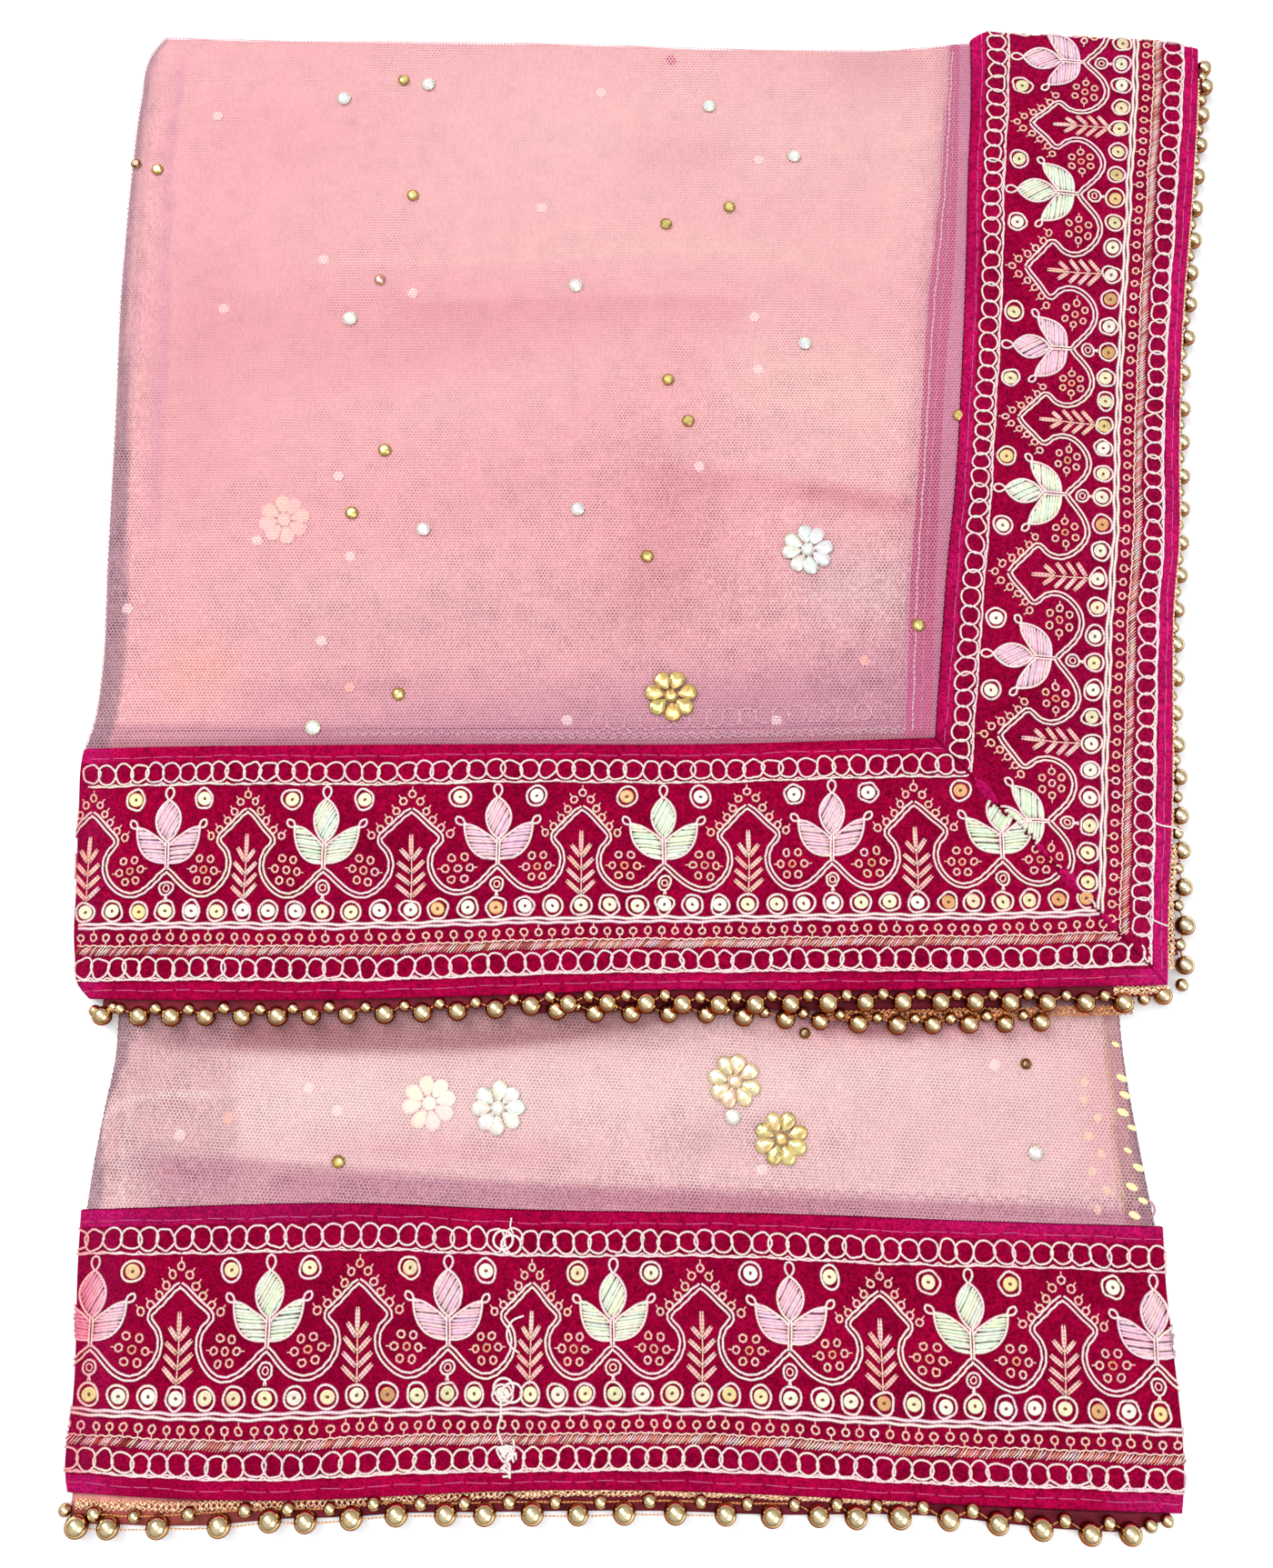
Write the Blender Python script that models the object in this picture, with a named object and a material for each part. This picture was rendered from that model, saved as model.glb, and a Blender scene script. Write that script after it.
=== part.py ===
"""Folded dupatta stole: net ground, velvet borders, bead edging and stone flowers, lying flat.

Run with: blender --background --python part.py
Tables and sizes are in millimetres, and the scene is in metres. +X is right, +Y is away from
the front edge and +Z is up. The underside rests on z = 0.
"""

import math

import bmesh
import bpy
import numpy as np

MM = 0.001
SETTLING = 4  # passes that settle a panel's points between its curved edges
COLLECTION = "dupatta_stole"
CENTRE = (17.19, 25.51)  # taken off every x and y, so that the box is centred on the origin

# --- outlines: one row a station, read by a smooth curve -------------------------------------
# Columns: y along the edge, x of the edge.
UPPER_LEFT = (
    (-91.0, -223.5), (-86.0, -228.0), (-74.0, -230.5), (-40.0, -232.0), (-14.0, -233.0),
    (14.0, -232.6), (25.0, -229.8), (47.0, -228.2), (100.0, -229.0), (155.0, -229.6),
    (230.0, -231.2), (287.0, -229.6), (322.0, -227.6), (343.0, -224.6), (351.0, -219.5),
)
SIDE_INNER = (
    (18.9, 126.3), (48.5, 129.4), (100.0, 135.0), (126.0, 138.6), (180.0, 143.8),
    (243.0, 148.6), (279.0, 150.8), (316.0, 153.6), (348.0, 154.8),
)
SIDE_OUTER = (
    (-84.5, 218.0), (-53.0, 220.2), (-28.0, 222.8), (17.0, 226.6), (48.5, 228.6), (81.0, 231.4),
    (100.0, 234.4), (153.0, 238.4), (208.0, 243.4), (265.0, 251.3), (323.0, 258.2), (346.0, 260.0),
)
# Columns: x along the edge, y of the edge.
NET_TOP = ((-219.5, 351.0), (-184.0, 349.6), (-59.0, 348.2), (75.0, 345.0), (116.0, 345.0), (155.0, 347.6))
SIDE_TOP = ((154.5, 348.6), (160.0, 352.0), (172.0, 351.4), (205.0, 350.0), (246.0, 347.2), (260.0, 344.6))
END_INNER = ((-233.0, 14.0), (-177.0, 15.0), (-54.0, 16.0), (32.0, 16.1), (69.0, 17.1), (126.3, 18.9))
END_OUTER = (
    (-224.0, -90.2), (-178.0, -90.8), (-52.0, -88.6), (-2.0, -86.8), (89.0, -86.8), (218.0, -84.5),
)
LOW_BAND_TOP = (
    (-224.0, -174.2), (-106.0, -172.0), (-51.0, -174.2), (66.0, -176.3), (132.0, -178.8), (212.5, -181.2),
)
LOW_BAND_FOOT = (
    (-222.0, -280.2), (-190.0, -282.2), (-148.0, -283.4), (-50.0, -280.2), (-15.0, -279.9),
    (76.0, -282.9), (123.0, -285.4), (213.5, -289.0),
)
LOW_BEAD_LINE = (
    (-217.5, -292.0), (-162.0, -292.4), (-111.0, -289.6), (-60.0, -288.4), (15.0, -288.6),
    (85.0, -288.9), (123.0, -291.0), (150.0, -293.0), (193.0, -295.8), (208.0, -293.0),
)
# Columns: y along the edge, x of the edge.
LOW_NET_LEFT = ((-173.0, -222.4), (-158.0, -221.0), (-130.0, -217.2), (-118.0, -215.2), (-84.0, -214.6))
LOW_NET_RIGHT = ((-180.0, 209.8), (-148.0, 205.3), (-116.0, 201.4), (-84.0, 200.0))
LOW_BAND_LEFT = ((-282.0, -222.0), (-273.0, -223.6), (-246.0, -222.4), (-191.0, -224.0), (-174.0, -224.0))
LOW_BAND_RIGHT = ((-289.0, 213.4), (-282.0, 214.4), (-227.0, 213.7), (-204.0, 212.4), (-181.0, 212.6))
# How far the side's beads hang outside the velvet. Columns: y along the edge, distance.
SIDE_BEAD_OUT = ((-72.0, 6.4), (-58.0, 4.0), (-40.0, 3.0), (150.0, 2.9), (290.0, 3.0), (340.0, 4.2))
# Height of the upper end's bead centres. Columns: x along the row, height.
END_BEAD_HEIGHT = ((-221.0, 7.4), (-90.0, 7.5), (-30.0, 9.9), (150.0, 9.9), (217.0, 7.6))

# Rounded lengths of the panels, by which rows of the meshes are spaced.
NET_SPAN = (370.0, 332.0)
END_BAND_SPAN = (400.0, 104.0)
SIDE_BAND_SPAN = (102.0, 385.0)
LOW_NET_SPAN = (420.0, 92.0)
LOW_BAND_SPAN = (437.0, 106.0)

# --- cloth ---------------------------------------------------------------------------------
SEAM_GAP = 0.3
MITER_GAP = 0.45  # the same gap, measured along x
NET_WALL = 1.2
VELVET_WALL = 2.0
VELVET_LIFT = 1.2  # how far the velvet's face stands over the net's
NET_LEVEL = 7.8
BORDER_RISE = 1.5  # the velvet plies below lift the net beside them
SIDE_REACH = 48.0
END_REACH = 42.0
LEFT_SLUMP = 1.1
LEFT_REACH = 34.0
FOLD_NOSE = (3.2, 3.0)  # run and fall of the turned left edge of the net
VELVET_NOSE = (4.0, 3.8)
BACK_RUN = 6.0
BACK_FOOT = 0.8  # height at which the back fold ends
HEM_FALL = 0.9
HEM_RUN = 1.1
# Soft creases and swells. Columns: x, y, turn in degrees, half length, half width, height.
CREASES = (
    (-26.0, 224.0, 0.0, 68.0, 7.0, -0.35),
    (-26.0, 216.0, 2.0, 60.0, 6.0, 0.25),
    (76.0, 233.0, -21.0, 36.0, 5.0, 0.45),
    (-150.0, 300.0, 12.0, 50.0, 12.0, 0.35),
    (-70.0, 60.0, -4.0, 90.0, 14.0, -0.40),
    (40.0, 130.0, 70.0, 60.0, 16.0, 0.40),
    (-180.0, 150.0, 84.0, 90.0, 9.0, 0.35),
    (112.0, 290.0, 88.0, 44.0, 8.0, -0.35),
)
RIPPLES = ((97.0, 0.4, 0.16), (61.0, 2.1, 0.10), (140.0, 4.4, 0.20))  # wavelength, turn, height

# --- hidden plies ----------------------------------------------------------------------------
HIDDEN_GAP = 0.9
RIM_FALL = 0.7
# Corners, counter-clockwise from the front left. Columns: x, y.
HIDDEN_CORNERS = ((-221.0, -84.0), (216.0, -79.0), (257.0, 340.0), (-217.0, 345.0))
HIDDEN_INSET = {"front": 6.4, "right": 2.9, "back": 5.6, "left": 3.0}
MARGIN_REACH = 150.0
NEAR_LEFT_INSET = 6.0  # more at the front left corner, where the top leaf lies on its own
# The rounded edge of each ply, from the floor up. Columns: share of the height, inset.
PLY_NOSE = ((0.0, 1.5), (0.28, 0.3), (0.72, 0.3))
PLY_COUNT = 4
PLY_SHIFT = (0.0, 0.9, 0.3, 1.4)
PLY_SWAY = 0.5
OUTLINE_POINTS = 80
CAP_RINGS = (0.972, 0.86, 0.66, 0.42, 0.2)
FLOOR_RINGS = (0.2, 0.66)

# --- lower leaf --------------------------------------------------------------------------------
LOW_NET_TOP = 2.4
LOW_BAND_TOP_LEVEL = 3.2
LOW_SWELL = 0.25
SWELL_REACH = (31.0, 23.0, 90.0)
LOW_FOLD_ROWS = (0.0, 0.85, 2.5)
LOW_NET_FALL = 1.3
LOW_BAND_FALL = 1.7
JOIN_REACH = 9.0
LOW_TUCK = 4.0  # how far it reaches behind the upper border's edge
LOW_JOIN_X = -50.0
LOW_JOIN_STEP = 0.6

# --- edging ------------------------------------------------------------------------------------
TAPE_WALL = 1.0
TAPE_OUT = 2.4
TAPE_UNDER = 3.0
END_BEAD_OUT = 7.0
# Columns: radius, pitch.
END_BEADS = (4.1, 14.6)
SIDE_BEADS = (3.7, 14.2)
LOW_BEADS = (4.3, 17.85)
# Where the rows and tapes start and end, along x or, at the side, along y.
END_BEAD_SPAN = (-221.0, 217.5)
SIDE_BEAD_SPAN = (-72.0, 341.0)
LOW_BEAD_SPAN = (-217.5, 194.0)
END_TAPE_SPAN = (-219.0, 214.0)
SIDE_TAPE_SPAN = (-72.0, 336.0)
LOW_TAPE_SPAN = (-217.0, 209.0)
INNER_ROW_OUT = 5.6
INNER_ROW_SPAN = (12, 26)  # the gaps between the upper row's beads below which an inner bead shows
INNER_BEAD_HEIGHT = 7.3
SIDE_BEAD_HEIGHT = 5.3
SIDE_TAPE_BACK = 3.4
INNER_TAPE_TOP = 5.6
INNER_TAPE_UNDER = 5.2
INNER_TAPE_OUT = 7.8
LOW_TAPE_BACK = 3.9
LOW_TAPE_WALL = 1.4
# Half of one bead's outline. Columns: share of its radius along, share across.
BEAD_OUTLINE = ((0.95, 0.40), (0.46, 1.0))

# --- stone flowers -----------------------------------------------------------------------------
FLOWER_RADIUS = 11.1
FLOWER_HEIGHT = 1.6
FLOWER_LOBE = 0.13
FLOWER_PETALS = 8
FLOWER_SIDES = 32
# Columns: x, y.
FLOWERS = ((14.4, 37.1), (74.0, 102.5), (-56.7, -134.1), (40.0, -123.5), (58.7, -146.4))

# --- finishes: base colour, metallic, roughness ---------------------------------------------------
FINISHES = {
    "net": ((0.90, 0.42, 0.48), 0.0, 0.85),
    "velvet": ((0.43, 0.0, 0.065), 0.0, 0.80),
    "tape": ((0.12, 0.004, 0.012), 0.0, 0.80),
    "beads": ((0.85, 0.60, 0.22), 1.0, 0.25),
    "stones": ((0.92, 0.80, 0.62), 0.0, 0.12),
}


def clear_scene():
    for old in list(bpy.data.objects):
        bpy.data.objects.remove(old)
    collection = bpy.data.collections.new(COLLECTION)
    bpy.context.scene.collection.children.link(collection)
    return collection


def finish_of(name, slot):
    """Each part has a material of its own, in its slot's finish."""
    colour, metallic, roughness = FINISHES[slot]
    material = bpy.data.materials.new(f"{name}_{slot}")
    material.use_nodes = True
    shader = material.node_tree.nodes["Principled BSDF"]
    shader.inputs["Base Color"].default_value = (*colour, 1.0)
    shader.inputs["Metallic"].default_value = metallic
    shader.inputs["Roughness"].default_value = roughness
    return material


def curve_at(table, where):
    """The second column as a smooth curve of the first, and straight beyond the table's ends."""
    rows = np.array(table)
    xs, ys = rows[:, 0], rows[:, 1]
    slopes = np.gradient(ys, xs)
    where = np.asarray(where, float)
    i = np.clip(np.searchsorted(xs, where) - 1, 0, len(xs) - 2)
    span = xs[i + 1] - xs[i]
    t = np.clip((where - xs[i]) / span, 0.0, 1.0)
    inside = (
        ys[i] * (1 + 2 * t) * (1 - t) ** 2
        + ys[i + 1] * t * t * (3 - 2 * t)
        + span * (slopes[i] * t * (1 - t) ** 2 - slopes[i + 1] * t * t * (1 - t))
    )
    before = np.minimum(where - xs[0], 0.0) * slopes[0]
    beyond = np.maximum(where - xs[-1], 0.0) * slopes[-1]
    return inside + before + beyond


def near(distance, reach):
    """1 at no distance, falling smoothly to 0 at reach."""
    t = np.clip(distance / reach, 0.0, 1.0)
    return 1 - t * t * (3 - 2 * t)


def mix(a, b, share):
    return a + (b - a) * share


def crease_height(x, y):
    """The creases and swells, summed, with three slow ripples."""
    height = np.zeros(np.broadcast(x, y).shape)
    for cx, cy, turn, half_length, half_width, rise in CREASES:
        along_x, along_y = math.cos(math.radians(turn)), math.sin(math.radians(turn))
        along = (x - cx) * along_x + (y - cy) * along_y
        across = (y - cy) * along_x - (x - cx) * along_y
        height += rise * np.exp(-((along / half_length) ** 4) - (across / half_width) ** 2)
    for wavelength, turn, rise in RIPPLES:
        phase = (x * math.cos(turn) + y * math.sin(turn)) * 2 * math.pi / wavelength
        height += rise * np.sin(phase + turn)
    return height


def net_level(x, y):
    """Height of the net's face over the upper leaf, before its edges are turned."""
    by_side = near(curve_at(SIDE_INNER, y) - x, SIDE_REACH)
    by_end = near(y - curve_at(END_INNER, x), END_REACH)
    by_border = 1 - (1 - by_side) * (1 - by_end)
    by_fold = near(x - curve_at(UPPER_LEFT, y), LEFT_REACH)
    creased = crease_height(x, y) * (1 - 0.75 * by_border)
    return NET_LEVEL + BORDER_RISE * by_border - LEFT_SLUMP * by_fold + creased


def turned(distance, run, fall):
    """How far a rounded edge has fallen at this distance from it."""
    t = np.clip(1 - distance / run, 0.0, 1.0)
    return fall * (1 - np.sqrt(1 - t * t))


def wall_heights(flat, wall, *folds):
    """Top and foot of a wall whose edges turn down. Each fold is a distance, a run and a fall."""
    top_fall = np.zeros_like(flat)
    foot_fall = np.zeros_like(flat)
    for distance, run, fall in folds:
        top_fall = np.maximum(top_fall, turned(distance, run, fall))
        foot_fall = np.maximum(foot_fall, turned(distance - wall, run - wall, fall))
    return flat - top_fall, flat - wall - foot_fall


def shares(length, count, first=(), last=()):
    """Shares of a length, evenly spaced, with rows at set distances from either end."""
    start = first[-1] if first else 0.0
    end = length - (last[-1] if last else 0.0)
    middle = np.linspace(start, end, count + 1)
    rows = [*first[:-1], *middle, *(length - d for d in reversed(last[:-1]))]
    return np.array(rows) / length


def edge_rows(run):
    """Distances from a turned edge at which the mesh needs a row."""
    return tuple(run * (1 - math.sin(math.radians(a))) for a in (90, 66, 42, 20, 0))


def grid_of(rows, columns):
    """A flat grid of rows along y and columns along x."""
    grid = bmesh.new()
    bmesh.ops.create_grid(grid, x_segments=columns - 1, y_segments=rows - 1, size=0.5)
    return grid


def cell_of(vert, rows, columns):
    """The row and column that a point of the flat grid stands for."""
    return round((vert.co.y + 0.5) * (rows - 1)), round((vert.co.x + 0.5) * (columns - 1))


def in_metres(x, y, z):
    return (x - CENTRE[0]) * MM, (y - CENTRE[1]) * MM, z * MM


def finish_mesh(name, slot, shape, collection):
    """The finished bmesh as an object of its own, with its material."""
    bmesh.ops.recalc_face_normals(shape, faces=list(shape.faces))
    mesh = bpy.data.meshes.new(name)
    shape.to_mesh(mesh)
    shape.free()
    mesh.materials.append(finish_of(name, slot))
    placed = bpy.data.objects.new(name, mesh)
    collection.objects.link(placed)
    return placed


def slab(name, slot, x, y, top, foot, collection):
    """A wall between two heights over the same outline."""
    rows, columns = x.shape
    grid = grid_of(rows, columns)
    cells = {vert: cell_of(vert, rows, columns) for vert in grid.verts}
    raised = bmesh.ops.extrude_face_region(grid, geom=list(grid.faces), use_keep_orig=True)
    upper = {item for item in raised["geom"] if isinstance(item, bmesh.types.BMVert)}
    cells.update({vert: cell_of(vert, rows, columns) for vert in upper})
    for vert, cell in cells.items():
        height = top[cell] if vert in upper else foot[cell]
        vert.co = in_metres(x[cell], y[cell], height)
    return finish_mesh(name, slot, grid, collection)


def ring_solid(name, slot, x, y, z, collection):
    """A solid whose rows are closed rings, from one pole to the other."""
    rings, points = x.shape
    grid = grid_of(rings, points + 1)
    for vert in grid.verts:
        ring, point = cell_of(vert, rings, points + 1)
        cell = ring, point % points
        vert.co = in_metres(x[cell], y[cell], z[cell])
    bmesh.ops.remove_doubles(grid, verts=list(grid.verts), dist=0.01 * MM)
    return finish_mesh(name, slot, grid, collection)


def net_upper(collection):
    """The net panel, turned down at its left fold and over the back fold."""
    u = shares(NET_SPAN[0], 22, first=edge_rows(FOLD_NOSE[0]))
    v = shares(NET_SPAN[1], 21, last=edge_rows(BACK_RUN))
    u, v = np.meshgrid(u, v)
    x = np.zeros_like(u)
    y = mix(END_INNER[0][1], NET_TOP[0][1], v)
    for _ in range(SETTLING):
        x = mix(curve_at(UPPER_LEFT, y), curve_at(SIDE_INNER, y) - SEAM_GAP, u)
        y = mix(curve_at(END_INNER, x) + SEAM_GAP, curve_at(NET_TOP, x), v)
    flat = net_level(x, y)
    left = x - curve_at(UPPER_LEFT, y), *FOLD_NOSE
    back = curve_at(NET_TOP, x) - y, BACK_RUN, flat - NET_WALL
    top, foot = wall_heights(flat, NET_WALL, left, back)
    slab("net_upper", "net", x, y, np.maximum(top, BACK_FOOT), foot, collection)


def velvet_level(x, y):
    return net_level(x, y) + VELVET_LIFT


def border_end_upper(collection):
    """The end border, from its left fold to the mitre."""
    u = shares(END_BAND_SPAN[0], 32, first=edge_rows(VELVET_NOSE[0]))
    t = shares(END_BAND_SPAN[1], 5, first=(0.0, HEM_RUN), last=(0.0, HEM_RUN))
    u, t = np.meshgrid(u, t[::-1])
    corner_in, corner_out = SIDE_INNER[0][1], SIDE_OUTER[0][1]
    miter = mix(corner_in, corner_out, t) - MITER_GAP
    left_y = mix(END_INNER[0][1], UPPER_LEFT[0][0], t)
    x = mix(curve_at(UPPER_LEFT, left_y), miter, u)
    inner_x = mix(END_INNER[0][0], corner_in - MITER_GAP, u)
    outer_x = mix(UPPER_LEFT[0][1], corner_out - MITER_GAP, u)
    y = mix(curve_at(END_INNER, inner_x), curve_at(END_OUTER, outer_x), t)
    flat = velvet_level(x, y)
    left = x - curve_at(UPPER_LEFT, left_y), *VELVET_NOSE
    top, foot = wall_heights(flat, VELVET_WALL, left)
    top -= turned((1 - t) * END_BAND_SPAN[1], HEM_RUN, HEM_FALL)
    slab("border_end_upper", "velvet", x, y, top, foot, collection)


def border_side_upper(collection):
    """The side border, from the mitre to the back fold, which it wraps over."""
    s = shares(SIDE_BAND_SPAN[0], 5, first=(0.0, HEM_RUN), last=(0.0, HEM_RUN))
    v = shares(SIDE_BAND_SPAN[1], 30, last=edge_rows(BACK_RUN))
    s, v = np.meshgrid(s, v)
    corner_y = mix(SIDE_INNER[0][0], SIDE_OUTER[0][0], s)
    inner_y = mix(SIDE_INNER[0][0], SIDE_TOP[0][1], v)
    outer_y = mix(SIDE_OUTER[0][0], SIDE_TOP[-1][1], v)
    x = mix(curve_at(SIDE_INNER, inner_y), curve_at(SIDE_OUTER, outer_y), s)
    back_x = mix(SIDE_TOP[0][0], SIDE_TOP[-1][0], s)
    back_y = curve_at(SIDE_TOP, back_x)
    y = mix(corner_y, back_y, v)
    flat = velvet_level(x, y)
    back = (1 - v) * SIDE_BAND_SPAN[1], BACK_RUN, flat - VELVET_WALL
    top, foot = wall_heights(flat, VELVET_WALL, back)
    hemmed = np.maximum(top - turned((1 - s) * SIDE_BAND_SPAN[0], HEM_RUN, HEM_FALL), BACK_FOOT)
    slab("border_side_upper", "velvet", x, y, hemmed, foot, collection)


def low_swell(x, y):
    """A slow unevenness of the lower leaf, never below 0."""
    reach_x, reach_y, lean = SWELL_REACH
    return LOW_SWELL * (1 + np.sin(x / reach_x + 0.7) * np.cos(y / reach_y + x / lean))


def net_lower(collection):
    u = shares(LOW_NET_SPAN[0], 28, first=LOW_FOLD_ROWS, last=LOW_FOLD_ROWS)
    v = shares(LOW_NET_SPAN[1], 7)
    u, v = np.meshgrid(u, v)
    x = np.zeros_like(u)
    y = mix(LOW_NET_LEFT[0][0], LOW_NET_LEFT[-1][0], v)
    for _ in range(SETTLING):
        x = mix(curve_at(LOW_NET_LEFT, y), curve_at(LOW_NET_RIGHT, y), u)
        foot = curve_at(LOW_BAND_TOP, x) + SEAM_GAP
        y = mix(foot, curve_at(END_OUTER, x) + LOW_TUCK, v)
    from_end = np.minimum(u, 1 - u) * LOW_NET_SPAN[0]
    top = LOW_NET_TOP + low_swell(x, y) - turned(from_end, LOW_FOLD_ROWS[-1], LOW_NET_FALL)
    slab("net_lower", "net", x, y, top, np.zeros_like(top), collection)


def low_band_level(x, y):
    join = near(x - LOW_JOIN_X, JOIN_REACH)
    return LOW_BAND_TOP_LEVEL + low_swell(x, y) + LOW_JOIN_STEP * join


def border_end_lower(collection):
    """The lower leaf's border, folded under at both ends."""
    u = shares(LOW_BAND_SPAN[0], 32, first=LOW_FOLD_ROWS, last=LOW_FOLD_ROWS)
    t = shares(LOW_BAND_SPAN[1], 5, first=(0.0, HEM_RUN), last=(0.0, HEM_RUN))
    u, t = np.meshgrid(u, t[::-1])
    x = np.zeros_like(u)
    y = mix(LOW_BAND_LEFT[-1][0], LOW_BAND_LEFT[0][0], t)
    for _ in range(SETTLING):
        x = mix(curve_at(LOW_BAND_LEFT, y), curve_at(LOW_BAND_RIGHT, y), u)
        y = mix(curve_at(LOW_BAND_TOP, x), curve_at(LOW_BAND_FOOT, x), t)
    from_end = np.minimum(u, 1 - u) * LOW_BAND_SPAN[0]
    from_hem = np.minimum(t, 1 - t) * LOW_BAND_SPAN[1]
    folded = turned(from_end, LOW_FOLD_ROWS[-1], LOW_BAND_FALL)
    fall = np.maximum(folded, turned(from_hem, HEM_RUN, HEM_FALL))
    top = low_band_level(x, y) - fall
    slab("border_end_lower", "velvet", x, y, top, np.zeros_like(top), collection)


def back_edge(x):
    return np.where(x < SIDE_INNER[-1][1], curve_at(NET_TOP, x), curve_at(SIDE_TOP, x))


def hidden_outline():
    """Points round the hidden plies, counter-clockwise from the front left corner."""
    share = (np.arange(OUTLINE_POINTS // 4) + 0.5) / (OUTLINE_POINTS // 4)
    left_front, right_front, right_back, left_back = HIDDEN_CORNERS
    front_x = mix(left_front[0], right_front[0], share)
    front_y = curve_at(END_OUTER, front_x) + HIDDEN_INSET["front"]
    right_y = mix(right_front[1], right_back[1], share)
    right_x = curve_at(SIDE_OUTER, right_y) - HIDDEN_INSET["right"]
    back_x = mix(right_back[0], left_back[0], share)
    back_y = back_edge(back_x) - HIDDEN_INSET["back"]
    left_y = mix(left_back[1], left_front[1], share)
    inset = HIDDEN_INSET["left"] + NEAR_LEFT_INSET * near(left_y - END_INNER[0][1], MARGIN_REACH)
    left_x = curve_at(UPPER_LEFT, left_y) + inset
    return (
        np.concatenate([front_x, right_x, back_x, left_x]),
        np.concatenate([front_y, right_y, back_y, left_y]),
    )


def hidden_level(x, y):
    """Height of the hidden plies' top, a little below the sheets that lie on it."""
    by_side = near(curve_at(SIDE_INNER, y) - x, SIDE_REACH)
    by_end = near(y - curve_at(END_INNER, x), END_REACH)
    by_border = 1 - (1 - by_side) * (1 - by_end)
    by_fold = near(x - curve_at(UPPER_LEFT, y), LEFT_REACH)
    level = NET_LEVEL + BORDER_RISE * by_border - LEFT_SLUMP * by_fold
    return level - NET_WALL - HIDDEN_GAP


def layers_hidden(collection):
    """The plies under the top leaf as one solid, with a rounded edge for each ply."""
    outline_x, outline_y = hidden_outline()
    middle_x, middle_y = outline_x.mean(), outline_y.mean()
    half_x, half_y = np.ptp(outline_x) / 2, np.ptp(outline_y) / 2
    turn = np.linspace(0, 2 * math.pi, OUTLINE_POINTS, endpoint=False)

    def ring(inset=0.0, scale=1.0):
        x = middle_x + (outline_x - middle_x) * scale * (1 - inset / half_x)
        y = middle_y + (outline_y - middle_y) * scale * (1 - inset / half_y)
        return x, y

    rings = [(*ring(scale=scale), np.zeros_like(outline_x)) for scale in (0.0, *FLOOR_RINGS)]
    for ply in range(PLY_COUNT):
        sway = PLY_SWAY * (1 + np.sin(3 * turn + 2.1 * ply))
        for share, inset in PLY_NOSE:
            x, y = ring(inset + PLY_SHIFT[ply] + sway)
            rings.append((x, y, (hidden_level(x, y) - RIM_FALL) * (ply + share) / PLY_COUNT))
    x, y = ring(PLY_NOSE[0][1] + PLY_SHIFT[-1] + PLY_SWAY)
    rings.append((x, y, hidden_level(x, y) - RIM_FALL))
    for scale in (*CAP_RINGS, 0.0):
        x, y = ring(scale=scale)
        rings.append((x, y, hidden_level(x, y)))
    x, y, z = (np.array(part) for part in zip(*rings))
    ring_solid("layers_hidden", "velvet", x, y, z, collection)


def strip(name, line, inner, outer, top, wall, collection):
    """A flat tape whose edges lie to either side of a line of points, at one height a point."""
    line = np.array(line)
    along = np.gradient(line, axis=0)
    along /= np.linalg.norm(along, axis=1)[:, None]
    outward = np.stack([along[:, 1], -along[:, 0]], axis=1)
    near_edge = line + outward * np.reshape(inner, (-1, 1))
    far_edge = line + outward * np.reshape(outer, (-1, 1))
    points = np.stack([far_edge, near_edge])
    heights = np.stack([top, top])
    slab(name, "tape", points[..., 0], points[..., 1], heights, heights - wall, collection)


def end_line(start, end, count):
    """The upper end border's outer edge, from left to right."""
    x = np.linspace(start, end, count)
    return np.stack([x, curve_at(END_OUTER, x)], axis=1)


def side_line(start, end, count):
    """The side border's outer edge, from front to back."""
    y = np.linspace(start, end, count)
    return np.stack([curve_at(SIDE_OUTER, y), y], axis=1)


def tapes(collection):
    """The edging's tapes, under the velvet or in front of the hidden plies."""
    line = end_line(*END_TAPE_SPAN, 30)
    top = velvet_level(line[:, 0], line[:, 1]) - VELVET_WALL - 2 * SEAM_GAP
    strip("tape_end_upper", line, -TAPE_UNDER, TAPE_OUT, top, TAPE_WALL, collection)
    line = side_line(*SIDE_TAPE_SPAN, 28)
    top = velvet_level(line[:, 0], line[:, 1]) - VELVET_WALL - 2 * SEAM_GAP
    outer = curve_at(SIDE_BEAD_OUT, line[:, 1]) - SIDE_TAPE_BACK
    strip("tape_side_upper", line, -TAPE_UNDER, outer, top, TAPE_WALL, collection)
    first, last = INNER_ROW_SPAN
    start = END_BEAD_SPAN[0]
    line = end_line(start + first * END_BEADS[1], start + last * END_BEADS[1], 16)
    top = np.full(len(line), INNER_TAPE_TOP)
    strip("tape_end_inner", line, -INNER_TAPE_UNDER, INNER_TAPE_OUT, top, TAPE_WALL, collection)
    x = np.linspace(*LOW_TAPE_SPAN, 30)
    line = np.stack([x, curve_at(LOW_BAND_FOOT, x)], axis=1)
    reach = line[:, 1] - curve_at(LOW_BEAD_LINE, x) - LOW_TAPE_BACK
    top = np.full(len(line), LOW_TAPE_WALL)
    strip("tape_end_lower", line, 2 * SEAM_GAP, reach, top, LOW_TAPE_WALL, collection)


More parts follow.
